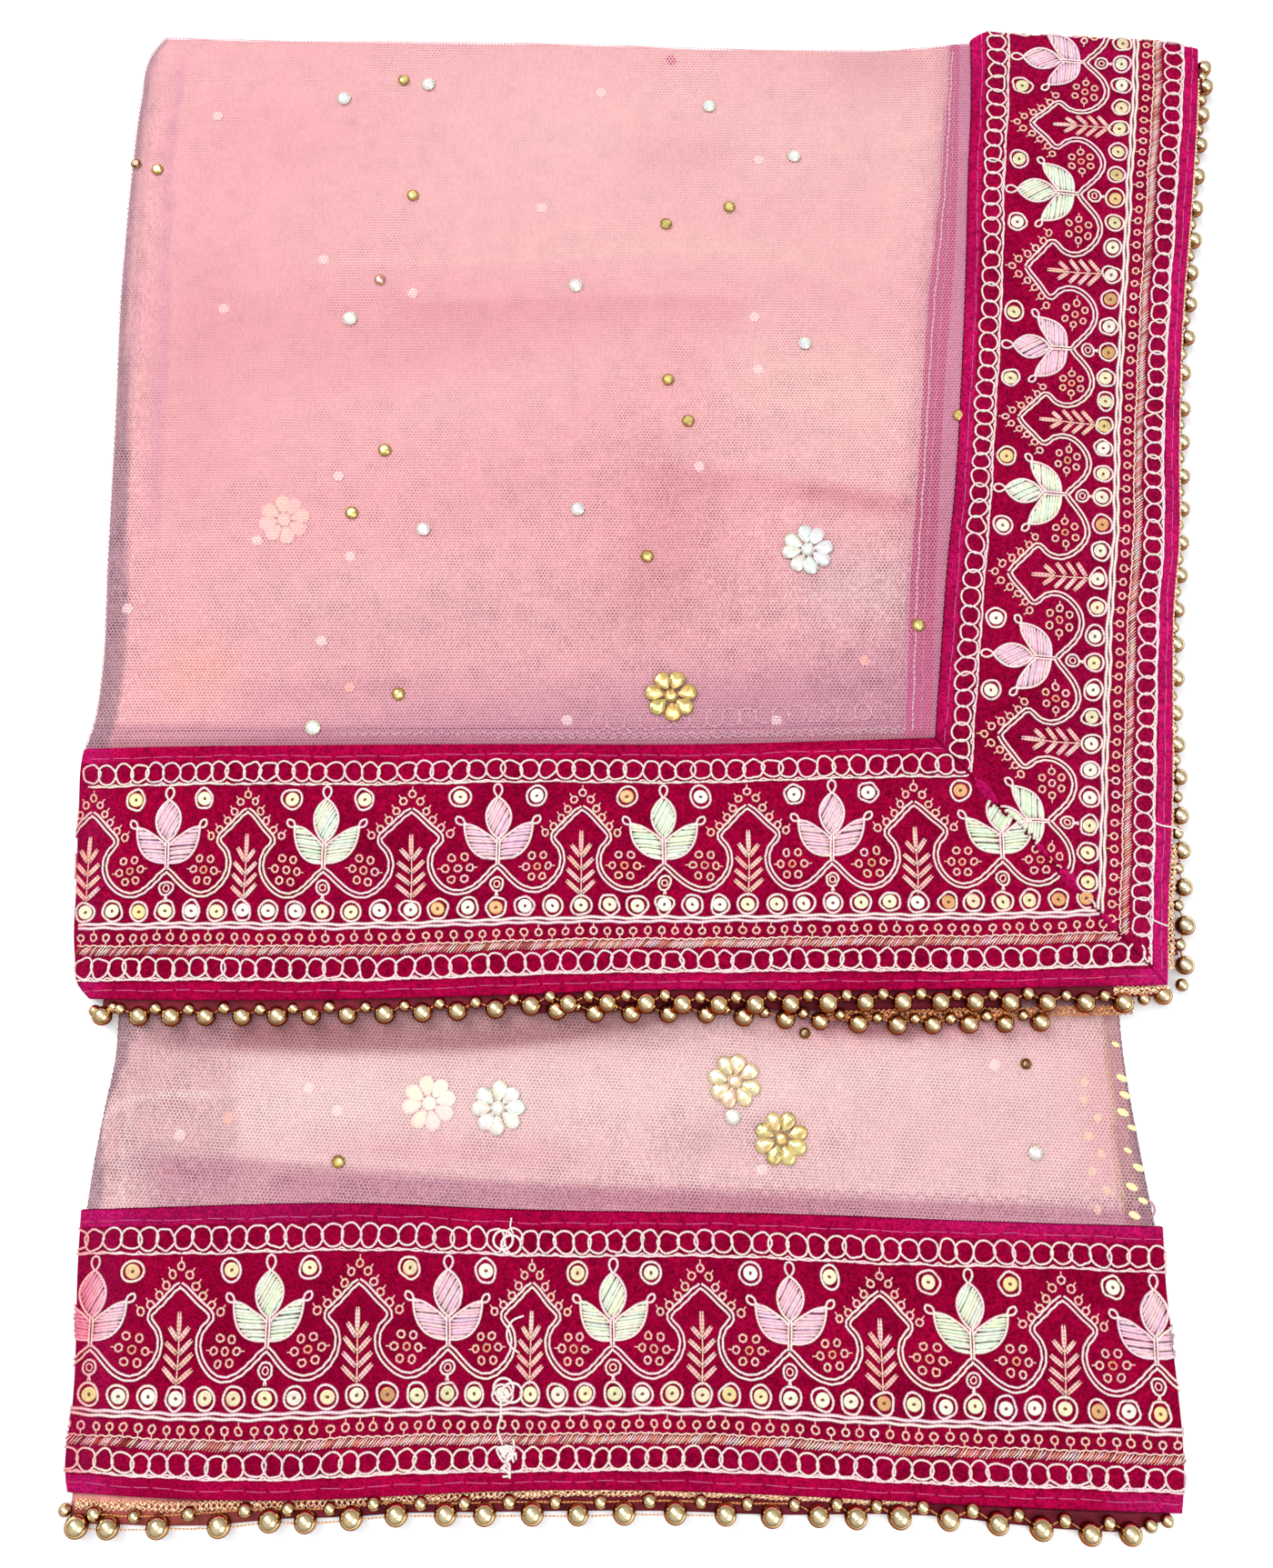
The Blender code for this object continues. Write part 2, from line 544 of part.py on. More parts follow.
def bead_string(name, centres, radius, collection):
    """Beads on their thread as one tube, thick at each bead."""
    centres = np.array(centres)
    along = np.gradient(centres, axis=0)
    along /= np.linalg.norm(along, axis=1)[:, None]
    curve = bpy.data.curves.new(name, "CURVE")
    curve.dimensions = "3D"
    curve.twist_mode = "Z_UP"
    curve.bevel_depth = MM
    curve.bevel_resolution = 1
    curve.use_fill_caps = True
    half = [(-along_share, across) for along_share, across in BEAD_OUTLINE]
    outline = half + [(-along_share, across) for along_share, across in reversed(half)]
    thread = curve.splines.new("POLY")
    thread.points.add(len(centres) * len(outline) - 1)
    spots = [
        (centre + direction * along_share * radius, across * radius)
        for centre, direction in zip(centres, along)
        for along_share, across in outline
    ]
    for point, (spot, across) in zip(thread.points, spots):
        point.co = (*in_metres(*spot), 1.0)
        point.radius = across
    curve.materials.append(finish_of(name, "beads"))
    placed = bpy.data.objects.new(name, curve)
    collection.objects.link(placed)


def end_bead_centres():
    x = np.arange(*END_BEAD_SPAN, END_BEADS[1])
    y = curve_at(END_OUTER, x) - END_BEAD_OUT
    return np.stack([x, y, curve_at(END_BEAD_HEIGHT, x)], axis=1)


def bead_rows(collection):
    """The four rows of large beads."""
    end = end_bead_centres()
    bead_string("beads_end_upper", end, END_BEADS[0], collection)
    radius, pitch = SIDE_BEADS
    y = np.arange(*SIDE_BEAD_SPAN, pitch)
    x = curve_at(SIDE_OUTER, y) + curve_at(SIDE_BEAD_OUT, y)
    side = np.stack([x, y, np.full(len(y), SIDE_BEAD_HEIGHT)], axis=1)
    bead_string("beads_side_upper", side, radius, collection)
    first, last = INNER_ROW_SPAN
    inner = (end[first:last] + end[first + 1 : last + 1]) / 2
    inner[:, 1] -= INNER_ROW_OUT
    inner[:, 2] = INNER_BEAD_HEIGHT
    bead_string("beads_end_inner", inner, END_BEADS[0], collection)
    radius, pitch = LOW_BEADS
    x = np.arange(*LOW_BEAD_SPAN, pitch)
    low = np.stack([x, curve_at(LOW_BEAD_LINE, x), np.full(len(x), radius)], axis=1)
    bead_string("beads_end_lower", low, radius, collection)


def stone_flower(name, x, y, foot, collection):
    """Eight petals of one height on a flat base."""
    flower = bmesh.new()
    bmesh.ops.create_cone(
        flower, cap_ends=True, segments=FLOWER_SIDES, radius1=1.0, radius2=0.86, depth=1.0
    )
    for vert in flower.verts:
        turn = math.atan2(vert.co.y, vert.co.x)
        lobe = 1 - FLOWER_LOBE * (1 - abs(math.cos(turn * FLOWER_PETALS / 2)))
        reach = FLOWER_RADIUS * lobe * math.hypot(vert.co.x, vert.co.y)
        height = foot + FLOWER_HEIGHT * (vert.co.z + 0.5)
        vert.co = in_metres(x + reach * math.cos(turn), y + reach * math.sin(turn), height)
    finish_mesh(name, "stones", flower, collection)


def stone_flowers(collection):
    """Each flower lies just over the highest net below it."""
    reach = np.linspace(-FLOWER_RADIUS, FLOWER_RADIUS, 9)
    for number, (x, y) in enumerate(FLOWERS, 1):
        under_x, under_y = np.meshgrid(x + reach, y + reach)
        if y > END_INNER[0][1]:
            level = net_level(under_x, under_y)
        else:
            level = LOW_NET_TOP + low_swell(under_x, under_y)
        stone_flower(f"stone_flower_{number}", x, y, float(level.max()) + SEAM_GAP, collection)


def main():
    collection = clear_scene()
    layers_hidden(collection)
    net_upper(collection)
    border_end_upper(collection)
    border_side_upper(collection)
    net_lower(collection)
    border_end_lower(collection)
    tapes(collection)
    bead_rows(collection)
    stone_flowers(collection)


main()
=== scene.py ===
"""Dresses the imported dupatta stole: net plies, embroidered velvet borders, beads and stones.

Tables and sizes are in millimetres, in the measures of the part's own source. They become
metres when a piece is made. +X is right, +Y is away from the front edge and +Z is up.
The cloth's left and back edges stand a little proud of the solids, as the photo shows them.
"""

import math

import bmesh
import bpy
import numpy as np
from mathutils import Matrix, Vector


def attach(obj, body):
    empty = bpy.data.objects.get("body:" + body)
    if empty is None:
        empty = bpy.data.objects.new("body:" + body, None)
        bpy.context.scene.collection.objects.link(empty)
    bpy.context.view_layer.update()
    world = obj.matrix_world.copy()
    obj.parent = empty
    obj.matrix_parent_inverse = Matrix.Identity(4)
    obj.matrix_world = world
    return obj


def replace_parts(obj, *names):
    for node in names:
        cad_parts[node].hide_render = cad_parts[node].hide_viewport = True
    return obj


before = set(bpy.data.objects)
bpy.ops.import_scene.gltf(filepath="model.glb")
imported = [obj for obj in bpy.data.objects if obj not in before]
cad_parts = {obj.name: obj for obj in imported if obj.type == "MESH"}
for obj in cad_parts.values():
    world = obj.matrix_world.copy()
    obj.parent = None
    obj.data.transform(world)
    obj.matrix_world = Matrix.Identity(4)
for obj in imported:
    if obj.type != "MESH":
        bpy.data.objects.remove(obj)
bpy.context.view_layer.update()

MM = 0.001
SETTLING = 4  # passes that settle a panel's points between its curved edges
CENTRE = np.array((17.19, 25.51, 0.0))  # taken off every point, as in the part's source
UP = np.array((0.0, 0.0, 1.0))

# --- outlines: one row a station, read by a smooth curve -------------------------------------
# Columns: y along the edge, x of the edge.
UPPER_LEFT = (
    (-91, -225), (-86, -229.5), (-74, -232), (-40, -233.5), (-14, -234.5), (14, -234.1),
    (25, -231.3), (47, -229.7), (100, -230.5), (155, -231.1), (230, -232.7), (287, -231.1),
    (322, -229.1), (343, -226.1), (351, -221),
)
SIDE_INNER = (
    (18.9, 126.3), (48.5, 129.4), (100, 135), (126, 138.6), (180, 143.8), (243, 148.6),
    (279, 150.8), (316, 153.6), (348, 154.8),
)
SIDE_OUTER = (
    (-84.5, 218), (-53, 220.2), (-28, 222.8), (17, 226.6), (48.5, 228.6), (81, 231.4), (100, 234.4),
    (153, 238.4), (208, 243.4), (265, 251.3), (323, 258.2), (346, 260),
)
# Columns: x along the edge, y of the edge.
NET_TOP = ((-219.5, 353.2), (-184, 351.8), (-59, 350.4), (75, 347.2), (116, 347.2), (155, 349.8))
SIDE_TOP = ((154.5, 350.8), (160, 354.2), (172, 353.6), (205, 352.2), (246, 349.4), (260, 346.8))
END_INNER = ((-233, 14), (-177, 15), (-54, 16), (32, 16.1), (69, 17.1), (126.3, 18.9))
END_OUTER = ((-224, -90.2), (-178, -90.8), (-52, -88.6), (-2, -86.8), (89, -86.8), (218, -84.5))
LOW_BAND_TOP = (
    (-224, -174.2), (-106, -172), (-51, -174.2), (66, -176.3), (132, -178.8), (212.5, -181.2),
)
LOW_BAND_FOOT = (
    (-222, -280.2), (-190, -282.2), (-148, -283.4), (-50, -280.2), (-15, -279.9), (76, -282.9),
    (123, -285.4), (213.5, -289),
)
# Columns: y along the edge, x of the edge.
LOW_NET_LEFT = ((-173, -222.4), (-158, -221), (-130, -217.2), (-118, -215.2), (-84, -214.6))
LOW_NET_RIGHT = ((-180, 209.8), (-148, 205.3), (-116, 201.4), (-84, 200))
LOW_BAND_LEFT = ((-282, -222), (-273, -223.6), (-246, -222.4), (-191, -224), (-174, -224))
LOW_BAND_RIGHT = ((-289, 213.4), (-282, 214.4), (-227, 213.7), (-204, 212.4), (-181, 212.6))
# How far the side's beads hang outside the velvet. Columns: y along the edge, distance.
SIDE_BEAD_OUT = ((-72, 6.4), (-58, 4), (-40, 3), (150, 2.9), (290, 3), (340, 4.2))
# Height of the upper end's bead centres. Columns: x along the row, height.
END_BEAD_HEIGHT = ((-221, 7.4), (-90, 7.5), (-30, 9.9), (150, 9.9), (217, 7.6))
CORNER_IN, CORNER_OUT = SIDE_INNER[0], SIDE_OUTER[0]  # the mitre's ends, y and x

# Rounded lengths of the panels, by which rows of the meshes are spaced.
NET_SPAN = (370.0, 332.0)
END_BAND_SPAN = (400.0, 104.0)
SIDE_BAND_SPAN = (102.0, 385.0)
LOW_NET_SPAN = (420.0, 92.0)
LOW_BAND_SPAN = (437.0, 106.0)

# --- cloth -----------------------------------------------------------------------------------
SEAM_GAP = 0.3
MITER_GAP = 0.45  # the same gap, measured along x
NET_WALL = 1.2
VELVET_WALL = 2.0
VELVET_LIFT = 1.2  # how far the velvet's face stands over the net's
NET_LEVEL = 7.8
BORDER_RISE = 1.5  # the velvet plies below lift the net beside them
SIDE_REACH = 48.0
END_REACH = 42.0
LEFT_SLUMP = 1.1
LEFT_REACH = 34.0
FOLD_NOSE = (3.2, 3.0)  # run and fall of the turned left edge of the net
VELVET_NOSE = (4.0, 3.8)
BACK_RUN = 3.0
BACK_FOOT = 0.8  # height at which the back fold ends
HEM = (1.1, 0.9)  # run and fall of a border's outer hem
INNER_HEM = (1.1, 0.5)
MITER_HEM = (0.8, 0.3)
# Soft creases and swells. Columns: x, y, turn in degrees, half length, half width, height.
CREASES = (
    (-26, 224, 0, 68, 7, -0.35), (-26, 216, 2, 60, 6, 0.25), (76, 233, -21, 36, 5, 0.45),
    (-150, 300, 12, 50, 12, 0.35), (-70, 60, -4, 90, 14, -0.4), (40, 130, 70, 60, 16, 0.4),
    (-180, 150, 84, 90, 9, 0.35), (112, 290, 88, 44, 8, -0.35), (-55, 222, 0.5, 105, 2.6, 0.42),
    (-6, 239.5, 4, 62, 2.4, 0.34), (90, 231, -29, 20, 2.2, 0.36), (62, 136, -7.5, 58, 3, 0.45),
    (-222, 225, 89.2, 100, 2.4, 0.3), (123, 120, 81, 92, 2.2, 0.4), (138, 270, 82, 70, 2.2, 0.36),
    (-95, 45, 3, 70, 3.2, 0.36), (62, 60, -9, 42, 3, 0.38), (-128, 268, 14, 42, 3.4, 0.24),
    (25, 86, 12, 50, 3.2, 0.3),
)
LOW_CREASES = (
    (-203, -131, 22, 15, 1.8, 0.36), (-163.5, -124, 87, 30, 1.7, 0.26),
    (-58, -159, -1.6, 110, 2.2, 0.28), (96, -169, -2, 90, 2.4, 0.22), (-20, -107, 6, 90, 3, 0.3),
)
RIPPLES = ((97.0, 0.4, 0.16), (61.0, 2.1, 0.10), (140.0, 4.4, 0.20))  # wavelength, turn, height

# --- lower leaf ------------------------------------------------------------------------------
LOW_NET_TOP = 2.4
LOW_BAND_TOP_LEVEL = 3.2
LOW_SWELL = 0.25
SWELL_REACH = (31.0, 23.0, 90.0)
LOW_FOLD_RUN = 2.5
LOW_BAND_FALL = 1.7
LOW_TUCK = 4.0  # how far the net reaches behind the upper border's edge
LOW_JOIN_X, LOW_JOIN_STEP, JOIN_REACH = -50.0, 0.6, 9.0
LOW_PUCKER = 0.6  # how much of the velvet's pucker the lower border has

# --- tapes -----------------------------------------------------------------------------------
TAPE_WALL, LOW_TAPE_WALL = 1.0, 1.4
TAPE_UNDER, INNER_TAPE_UNDER = 3.0, 5.2  # how far a tape reaches under the velvet
TAPE_OUT, INNER_TAPE_OUT = 4.6, 7.8  # and how far outside it
INNER_TAPE_TOP = 5.6
# Where the tapes start and end, along x or, at the side, along y.
END_TAPE_SPAN = (-219.0, 214.0)
SIDE_TAPE_SPAN = (-72.0, 336.0)
INNER_TAPE_SPAN = (-45.8, 158.6)
LOW_TAPE_SPAN = (-220.5, 209.0)

# --- stone flowers ----------------------------------------------------------------------------
FLOWER_RADIUS = 11.1
# Columns: x, y.
FLOWERS = ((14.4, 37.1), (74, 102.5), (-56.7, -134.1), (40, -123.5), (58.7, -146.4))


# --- materials -------------------------------------------------------------------------------
def srgb(*channels):
    """A colour of 0 to 255 a channel as linear values."""
    values = np.array(channels) / 255
    return np.where(values > 0.04045, ((values + 0.055) / 1.055) ** 2.4, values / 12.92)


LIGHT = 1.25  # how much the lights brighten a level face


def seen(*channels):
    """The base colour that looks like this on a level face under the scene's lights."""
    return srgb(*channels) / LIGHT


class Finish:
    """A Principled material, with short calls that add nodes to it."""

    def __init__(self, name, **constants):
        self.material = bpy.data.materials.new(name)
        self.material.use_nodes = True
        self.tree = self.material.node_tree
        self.main = self.tree.nodes["Principled BSDF"]
        for socket, value in constants.items():
            socket = socket.replace("_", " ").title().replace("Ior", "IOR")
            self.put(self.main.inputs[socket], value)

    def put(self, socket, value):
        if isinstance(value, bpy.types.NodeSocket):
            self.tree.links.new(value, socket)
        elif np.ndim(value) and len(socket.default_value) == 4:
            socket.default_value = (*value, 1.0)
        else:
            socket.default_value = value

    def node(self, kind, inputs=(), output=0, **settings):
        made = self.tree.nodes.new("ShaderNode" + kind)
        for key, value in settings.items():
            setattr(made, key, value)
        for socket, value in dict(inputs).items():
            self.put(made.inputs[socket], value)
        return made.outputs[output]

    def math(self, operation, *values):
        return self.node("Math", enumerate(values), operation=operation)

    def product(self, first, *others):
        for other in others:
            first = self.math("MULTIPLY", first, other)
        return first

    def vector(self, operation, *values, output=0):
        return self.node("VectorMath", enumerate(values), output, operation=operation)

    def mix(self, share, one, other, **settings):
        return self.node("Mix", {0: share, 6: one, 7: other}, 2, data_type="RGBA", **settings)

    def times(self, one, *others):
        for other in others:
            one = self.mix(1.0, one, other, blend_type="MULTIPLY")
        return one

    def fade(self, value, start, end, low=0.0, high=1.0):
        inputs = enumerate((value, start, end, low, high))
        return self.node("MapRange", inputs, interpolation_type="SMOOTHSTEP")

    def grey(self, value):
        return self.node("CombineColor", {0: value, 1: value, 2: value})

    def place(self):
        """The point on the piece in millimetres."""
        return self.vector("MULTIPLY", self.node("TexCoord", output=3), (1000.0, 1000.0, 1000.0))

    def noise(self, vector, size, detail=2.0):
        return self.node("TexNoise", {"Vector": vector, "Scale": 1.0 / size, "Detail": detail})

    def patches(self, vector, size, low, high, detail=2.0, start=0.3, end=0.7):
        """Soft patches between two values."""
        return self.fade(self.noise(vector, size, detail), start, end, low, high)

    def tint(self, output=0):
        """The piece's own tint."""
        return self.node("Attribute", output=output, attribute_name="tint")

    def length(self):
        """The tint's alpha: the distance along a thread in millimetres, or a sheet's depth."""
        return self.tint(3)

    def bump(self, height, strength, distance):
        inputs = {"Height": height, "Strength": strength, "Distance": distance * MM}
        self.put(self.main.inputs["Normal"], self.node("Bump", inputs))

    def colour(self, one, *others):
        self.put(self.main.inputs["Base Color"], self.times(one, *others))
        return self.material

    def dashes(self, place):
        """Short upright dashes of light and dark, as where meshes cross, by the tint's alpha."""
        drawn = self.vector("MULTIPLY", place, (1.0, 0.36, 0.0))
        dash = self.patches(drawn, DASH_SIZE, -1.0, 1.0, 1.0, 0.34, 0.66)
        patches = self.patches(place, 9.0, 0.45, 1.0, 2.0, 0.36, 0.64)
        depth = self.math("POWER", self.length(), 1.5)
        strength = self.math("MULTIPLY_ADD", self.product(depth, patches), 0.30, 0.020)
        green = self.math("MULTIPLY_ADD", dash, strength, 1.0)
        red = self.math("MULTIPLY_ADD", self.product(dash, 0.6), strength, 1.0)
        return self.node("CombineColor", {0: red, 1: green, 2: green})

    def honeycomb(self, pitch, turn=0.0):
        """The distance from the nearest hole's middle, in pitches."""
        spot = self.vector("MULTIPLY", self.place(), (1.0, 1.0, 0.0))
        spot = self.node("VectorRotate", {"Vector": spot, "Angle": turn}, rotation_type="Z_AXIS")
        spot = self.vector("MULTIPLY", spot, (1 / pitch, 1 / pitch, 0.0))
        half = np.array((0.5, math.sqrt(3) / 2, 1.0))
        moved = self.vector("SUBTRACT", spot, half * (1, 1, 0))
        cells = [self.vector("WRAP", start, half, -half) for start in (spot, moved)]
        return self.math("MINIMUM", *(self.vector("LENGTH", cell, output=1) for cell in cells))


NET_PITCH = 1.5
THREAD_TWIST = 1.5
DASH_SIZE = 1.0
CRIMSON, WINE = seen(143, 4, 48), seen(146, 12, 60)
# The hem strips' colours: their brighter magenta against the ground is painted sheen of the velvet's
# pile.
MAGENTA, FUCHSIA = seen(162, 6, 60), seen(185, 24, 100)


def velvet_finish(name, strip=0.062):
    """Velvet: its tint is the share of the way across the border, how hot its pink is, its shade."""
    made = Finish(name, roughness=0.9, sheen_weight=0.10, sheen_roughness=0.4,
                  sheen_tint=srgb(255, 0, 130), specular_ior_level=0.0)
    place = made.place()
    across, hot, shade = made.node("SeparateColor", {0: made.tint()}).node.outputs
    # the plain strips at the hems, which take the painted sheen
    ragged = made.math("MULTIPLY_ADD", made.noise(place, 2.5), 0.004, across)
    inner = made.fade(ragged, strip - 0.003, strip + 0.003, 1.0, 0.0)
    outer = made.fade(ragged, 1.0 - strip - 0.003, 1.0 - strip + 0.003)
    ground, edges = made.mix(hot, CRIMSON, WINE), made.mix(hot, MAGENTA, FUCHSIA)
    both = made.mix(made.math("MAXIMUM", inner, outer), ground, edges)
    nap = made.noise(place, 1.0, 3.0)
    made.bump(made.math("ADD", nap, made.noise(place, 5.0)), 0.5, 0.35)
    brushed, blots = made.patches(place, 24.0, 0.86, 1.08, 3.0), made.patches(place, 2.8, 0.84, 1.12)
    # the pile's patches, times the tint's shade, which is painted shade
    mottling = made.product(brushed, blots, made.fade(nap, 0.28, 0.72, 0.60, 1.38), shade)
    return made.colour(both, made.grey(mottling))


def thread_finish(name, metallic, roughness, groove_shade, twist=THREAD_TWIST):
    """Twisted thread: its turns are drawn from the distance along it, with painted shade in their
    grooves.
    """
    made = Finish(name, metallic=metallic, roughness=roughness, specular_ior_level=0.35)
    turns = made.math("SINE", made.product(made.length(), 2 * math.pi / twist))
    made.bump(turns, 0.5, 0.14)
    tint = made.tint()
    # painted shade in the grooves
    thread = made.mix(made.fade(turns, -1.0, 0.5), made.times(tint, groove_shade), tint)
    return made.colour(thread, made.grey(made.patches(made.place(), 1.6, 0.92, 1.10, 2.0, 0.25, 0.75)))


def net_finish(name, open_share, turn=0.0):
    """Honeycomb net: its holes are clear, its threads take the tint, and alpha gives its grain."""
    made = Finish(name, roughness=0.72, specular_ior_level=0.1)
    place = made.place()
    far = made.honeycomb(NET_PITCH, turn)
    made.put(made.main.inputs["Alpha"], made.fade(far, open_share - 0.09, open_share + 0.09))
    made.bump(far, 0.3, 0.2)
    streak = made.grey(made.patches(place, 7.0, 0.97, 1.02, 3.0))
    return made.colour(made.tint(), streak, made.dashes(place))


def ply_finish(name, turn, always=0.0):
    """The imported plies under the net. Their own mesh and streaks show by the tint's alpha."""
    made = Finish(name, roughness=0.8, sheen_weight=0.1, specular_ior_level=0.05)
    place = made.place()
    holes = made.fade(made.honeycomb(NET_PITCH * 1.03, turn), 0.20, 0.48, 1.0, 0.0)
    drawn = made.vector("MULTIPLY", place, (1.0, 0.09, 0.0))
    streaks = made.patches(drawn, 1.25, 0.0, 1.0, 2.0, 0.42, 0.72)
    patches = made.patches(place, 10.0, 0.30, 1.0, 3.0, 0.36, 0.62)
    marks = made.math("MULTIPLY_ADD", holes, 0.76, made.product(streaks, 0.36))
    strength = made.math("MAXIMUM", made.length(), always)
    dark = made.product(marks, patches, strength)
    made.bump(holes, 0.25, -0.2)
    fair = made.math("MULTIPLY_ADD", strength, 0.20, 1.0)  # evens out what the marks take
    soft = made.patches(place, 30.0, 0.975, 1.015, 3.0)
    shade = made.product(made.math("SUBTRACT", fair, dark), soft)
    return made.colour(made.tint(), made.grey(shade), made.dashes(place))


def metal_finish(name, colour, roughness, metallic=1.0, **constants):
    """Plated metal with faint wear, in the tint."""
    made = Finish(name, metallic=metallic, roughness=roughness, **constants)
    place = made.place()
    mottling = made.noise(place, 2.2, 3.0)
    made.put(made.main.inputs["Roughness"], made.fade(mottling, 0.3, 0.75, roughness * 0.7, roughness * 1.6))
    made.bump(made.noise(place, 0.8, 2.0), 0.06, 0.1)
    return made.colour(made.tint(), made.grey(made.fade(mottling, 0.3, 0.7, 0.92, 1.04)), colour)


def ribbon_finish(name):
    """Ribbed ribbon, in the tint."""
    made = Finish(name, roughness=0.62, sheen_weight=0.04, specular_ior_level=0.25)
    place = made.place()
    ribs = made.node("TexWave", {"Vector": place, "Scale": 0.55, "Distortion": 0.8})
    made.bump(ribs, 0.5, 0.2)
    shade = made.product(made.patches(place, 4.0, 0.75, 1.15, 3.0), made.fade(ribs, 0, 1, 0.8, 1.1))
    return made.colour(made.tint(), made.grey(shade))


def floor_finish():
    made = Finish("pale_floor", roughness=0.9)
    grain = made.patches(made.place(), 60.0, 0.0, 1.0, 3.0)
    return made.colour(made.mix(grain, (0.93, 0.93, 0.935), (0.95, 0.95, 0.95)))


PLAIN = (1.0, 1.0, 1.0)
FINISH = {
    "velvet": velvet_finish("velvet_crimson"),
    # a thread's third value is the painted shade in its grooves
    "cream": thread_finish("thread_cream", 0.0, 0.45, (0.94, 0.82, 0.80)),
    "rose": thread_finish("thread_rose_gold", 0.04, 0.42, (0.86, 0.62, 0.58)),
    "satin": thread_finish("thread_satin", 0.0, 0.40, (0.94, 0.93, 0.93), 4.0),
    "gilt": thread_finish("thread_gilt", 0.30, 0.38, (0.56, 0.38, 0.26)),
    "braid": thread_finish("thread_braid", 0.0, 0.40, (0.78, 0.50, 0.38), 2.2),
    "plain": thread_finish("thread_plain", 0.0, 0.6, (0.9, 0.8, 0.85)),
    "net": net_finish("net_honeycomb", 0.40),
    "low_net": net_finish("net_honeycomb_turned", 0.40, 0.06),
    "ply": ply_finish("net_plies", 0.10),
    "fold": ply_finish("net_folds", 0.35, 0.12),
    "sequin": metal_finish("sequin_foil", PLAIN, 0.34, 0.35),
    "gold": metal_finish("bead_gold", srgb(255, 224, 170), 0.14, specular_tint=(0.30, 0.14, 0.06)),
    "stone": metal_finish("stone_foil", PLAIN, 0.12, 0.40, coat_weight=1.0),
    "ghost": metal_finish("stone_under_net", PLAIN, 0.5, 0.0),
    "tape": ribbon_finish("ribbon_maroon"),
}


# --- mesh helpers ----------------------------------------------------------------------------
def grid_quads(rows, columns, ring_rows=False, ring_columns=False):
    """Quads of a grid whose points are numbered row by row."""
    r = np.arange(rows if ring_rows else rows - 1)[:, None]
    c = np.arange(columns if ring_columns else columns - 1)[None, :]
    up, over = (r + 1) % rows, (c + 1) % columns
    quads = [r * columns + c, r * columns + over, up * columns + over, up * columns + c]
    return np.stack([np.broadcast_to(q, (r.size, c.size)) for q in quads], axis=-1).reshape(-1, 4)


def fan(first, count, tip, flip=False):
    """Triangles from a ring of points to a tip."""
    ring = first + np.arange(count)
    sides = (np.roll(ring, -1), ring) if flip else (ring, np.roll(ring, -1))
    return np.stack([*sides, np.full(count, tip)], axis=1)


def circle(radius, count, start=0.0):
    turn = np.arange(count) * 2 * math.pi / count + start
    return np.stack([np.cos(turn), np.sin(turn)], axis=1) * radius


def unit(vectors):
    length = np.linalg.norm(vectors, axis=-1, keepdims=True)
    return vectors / np.maximum(length, 1e-9)


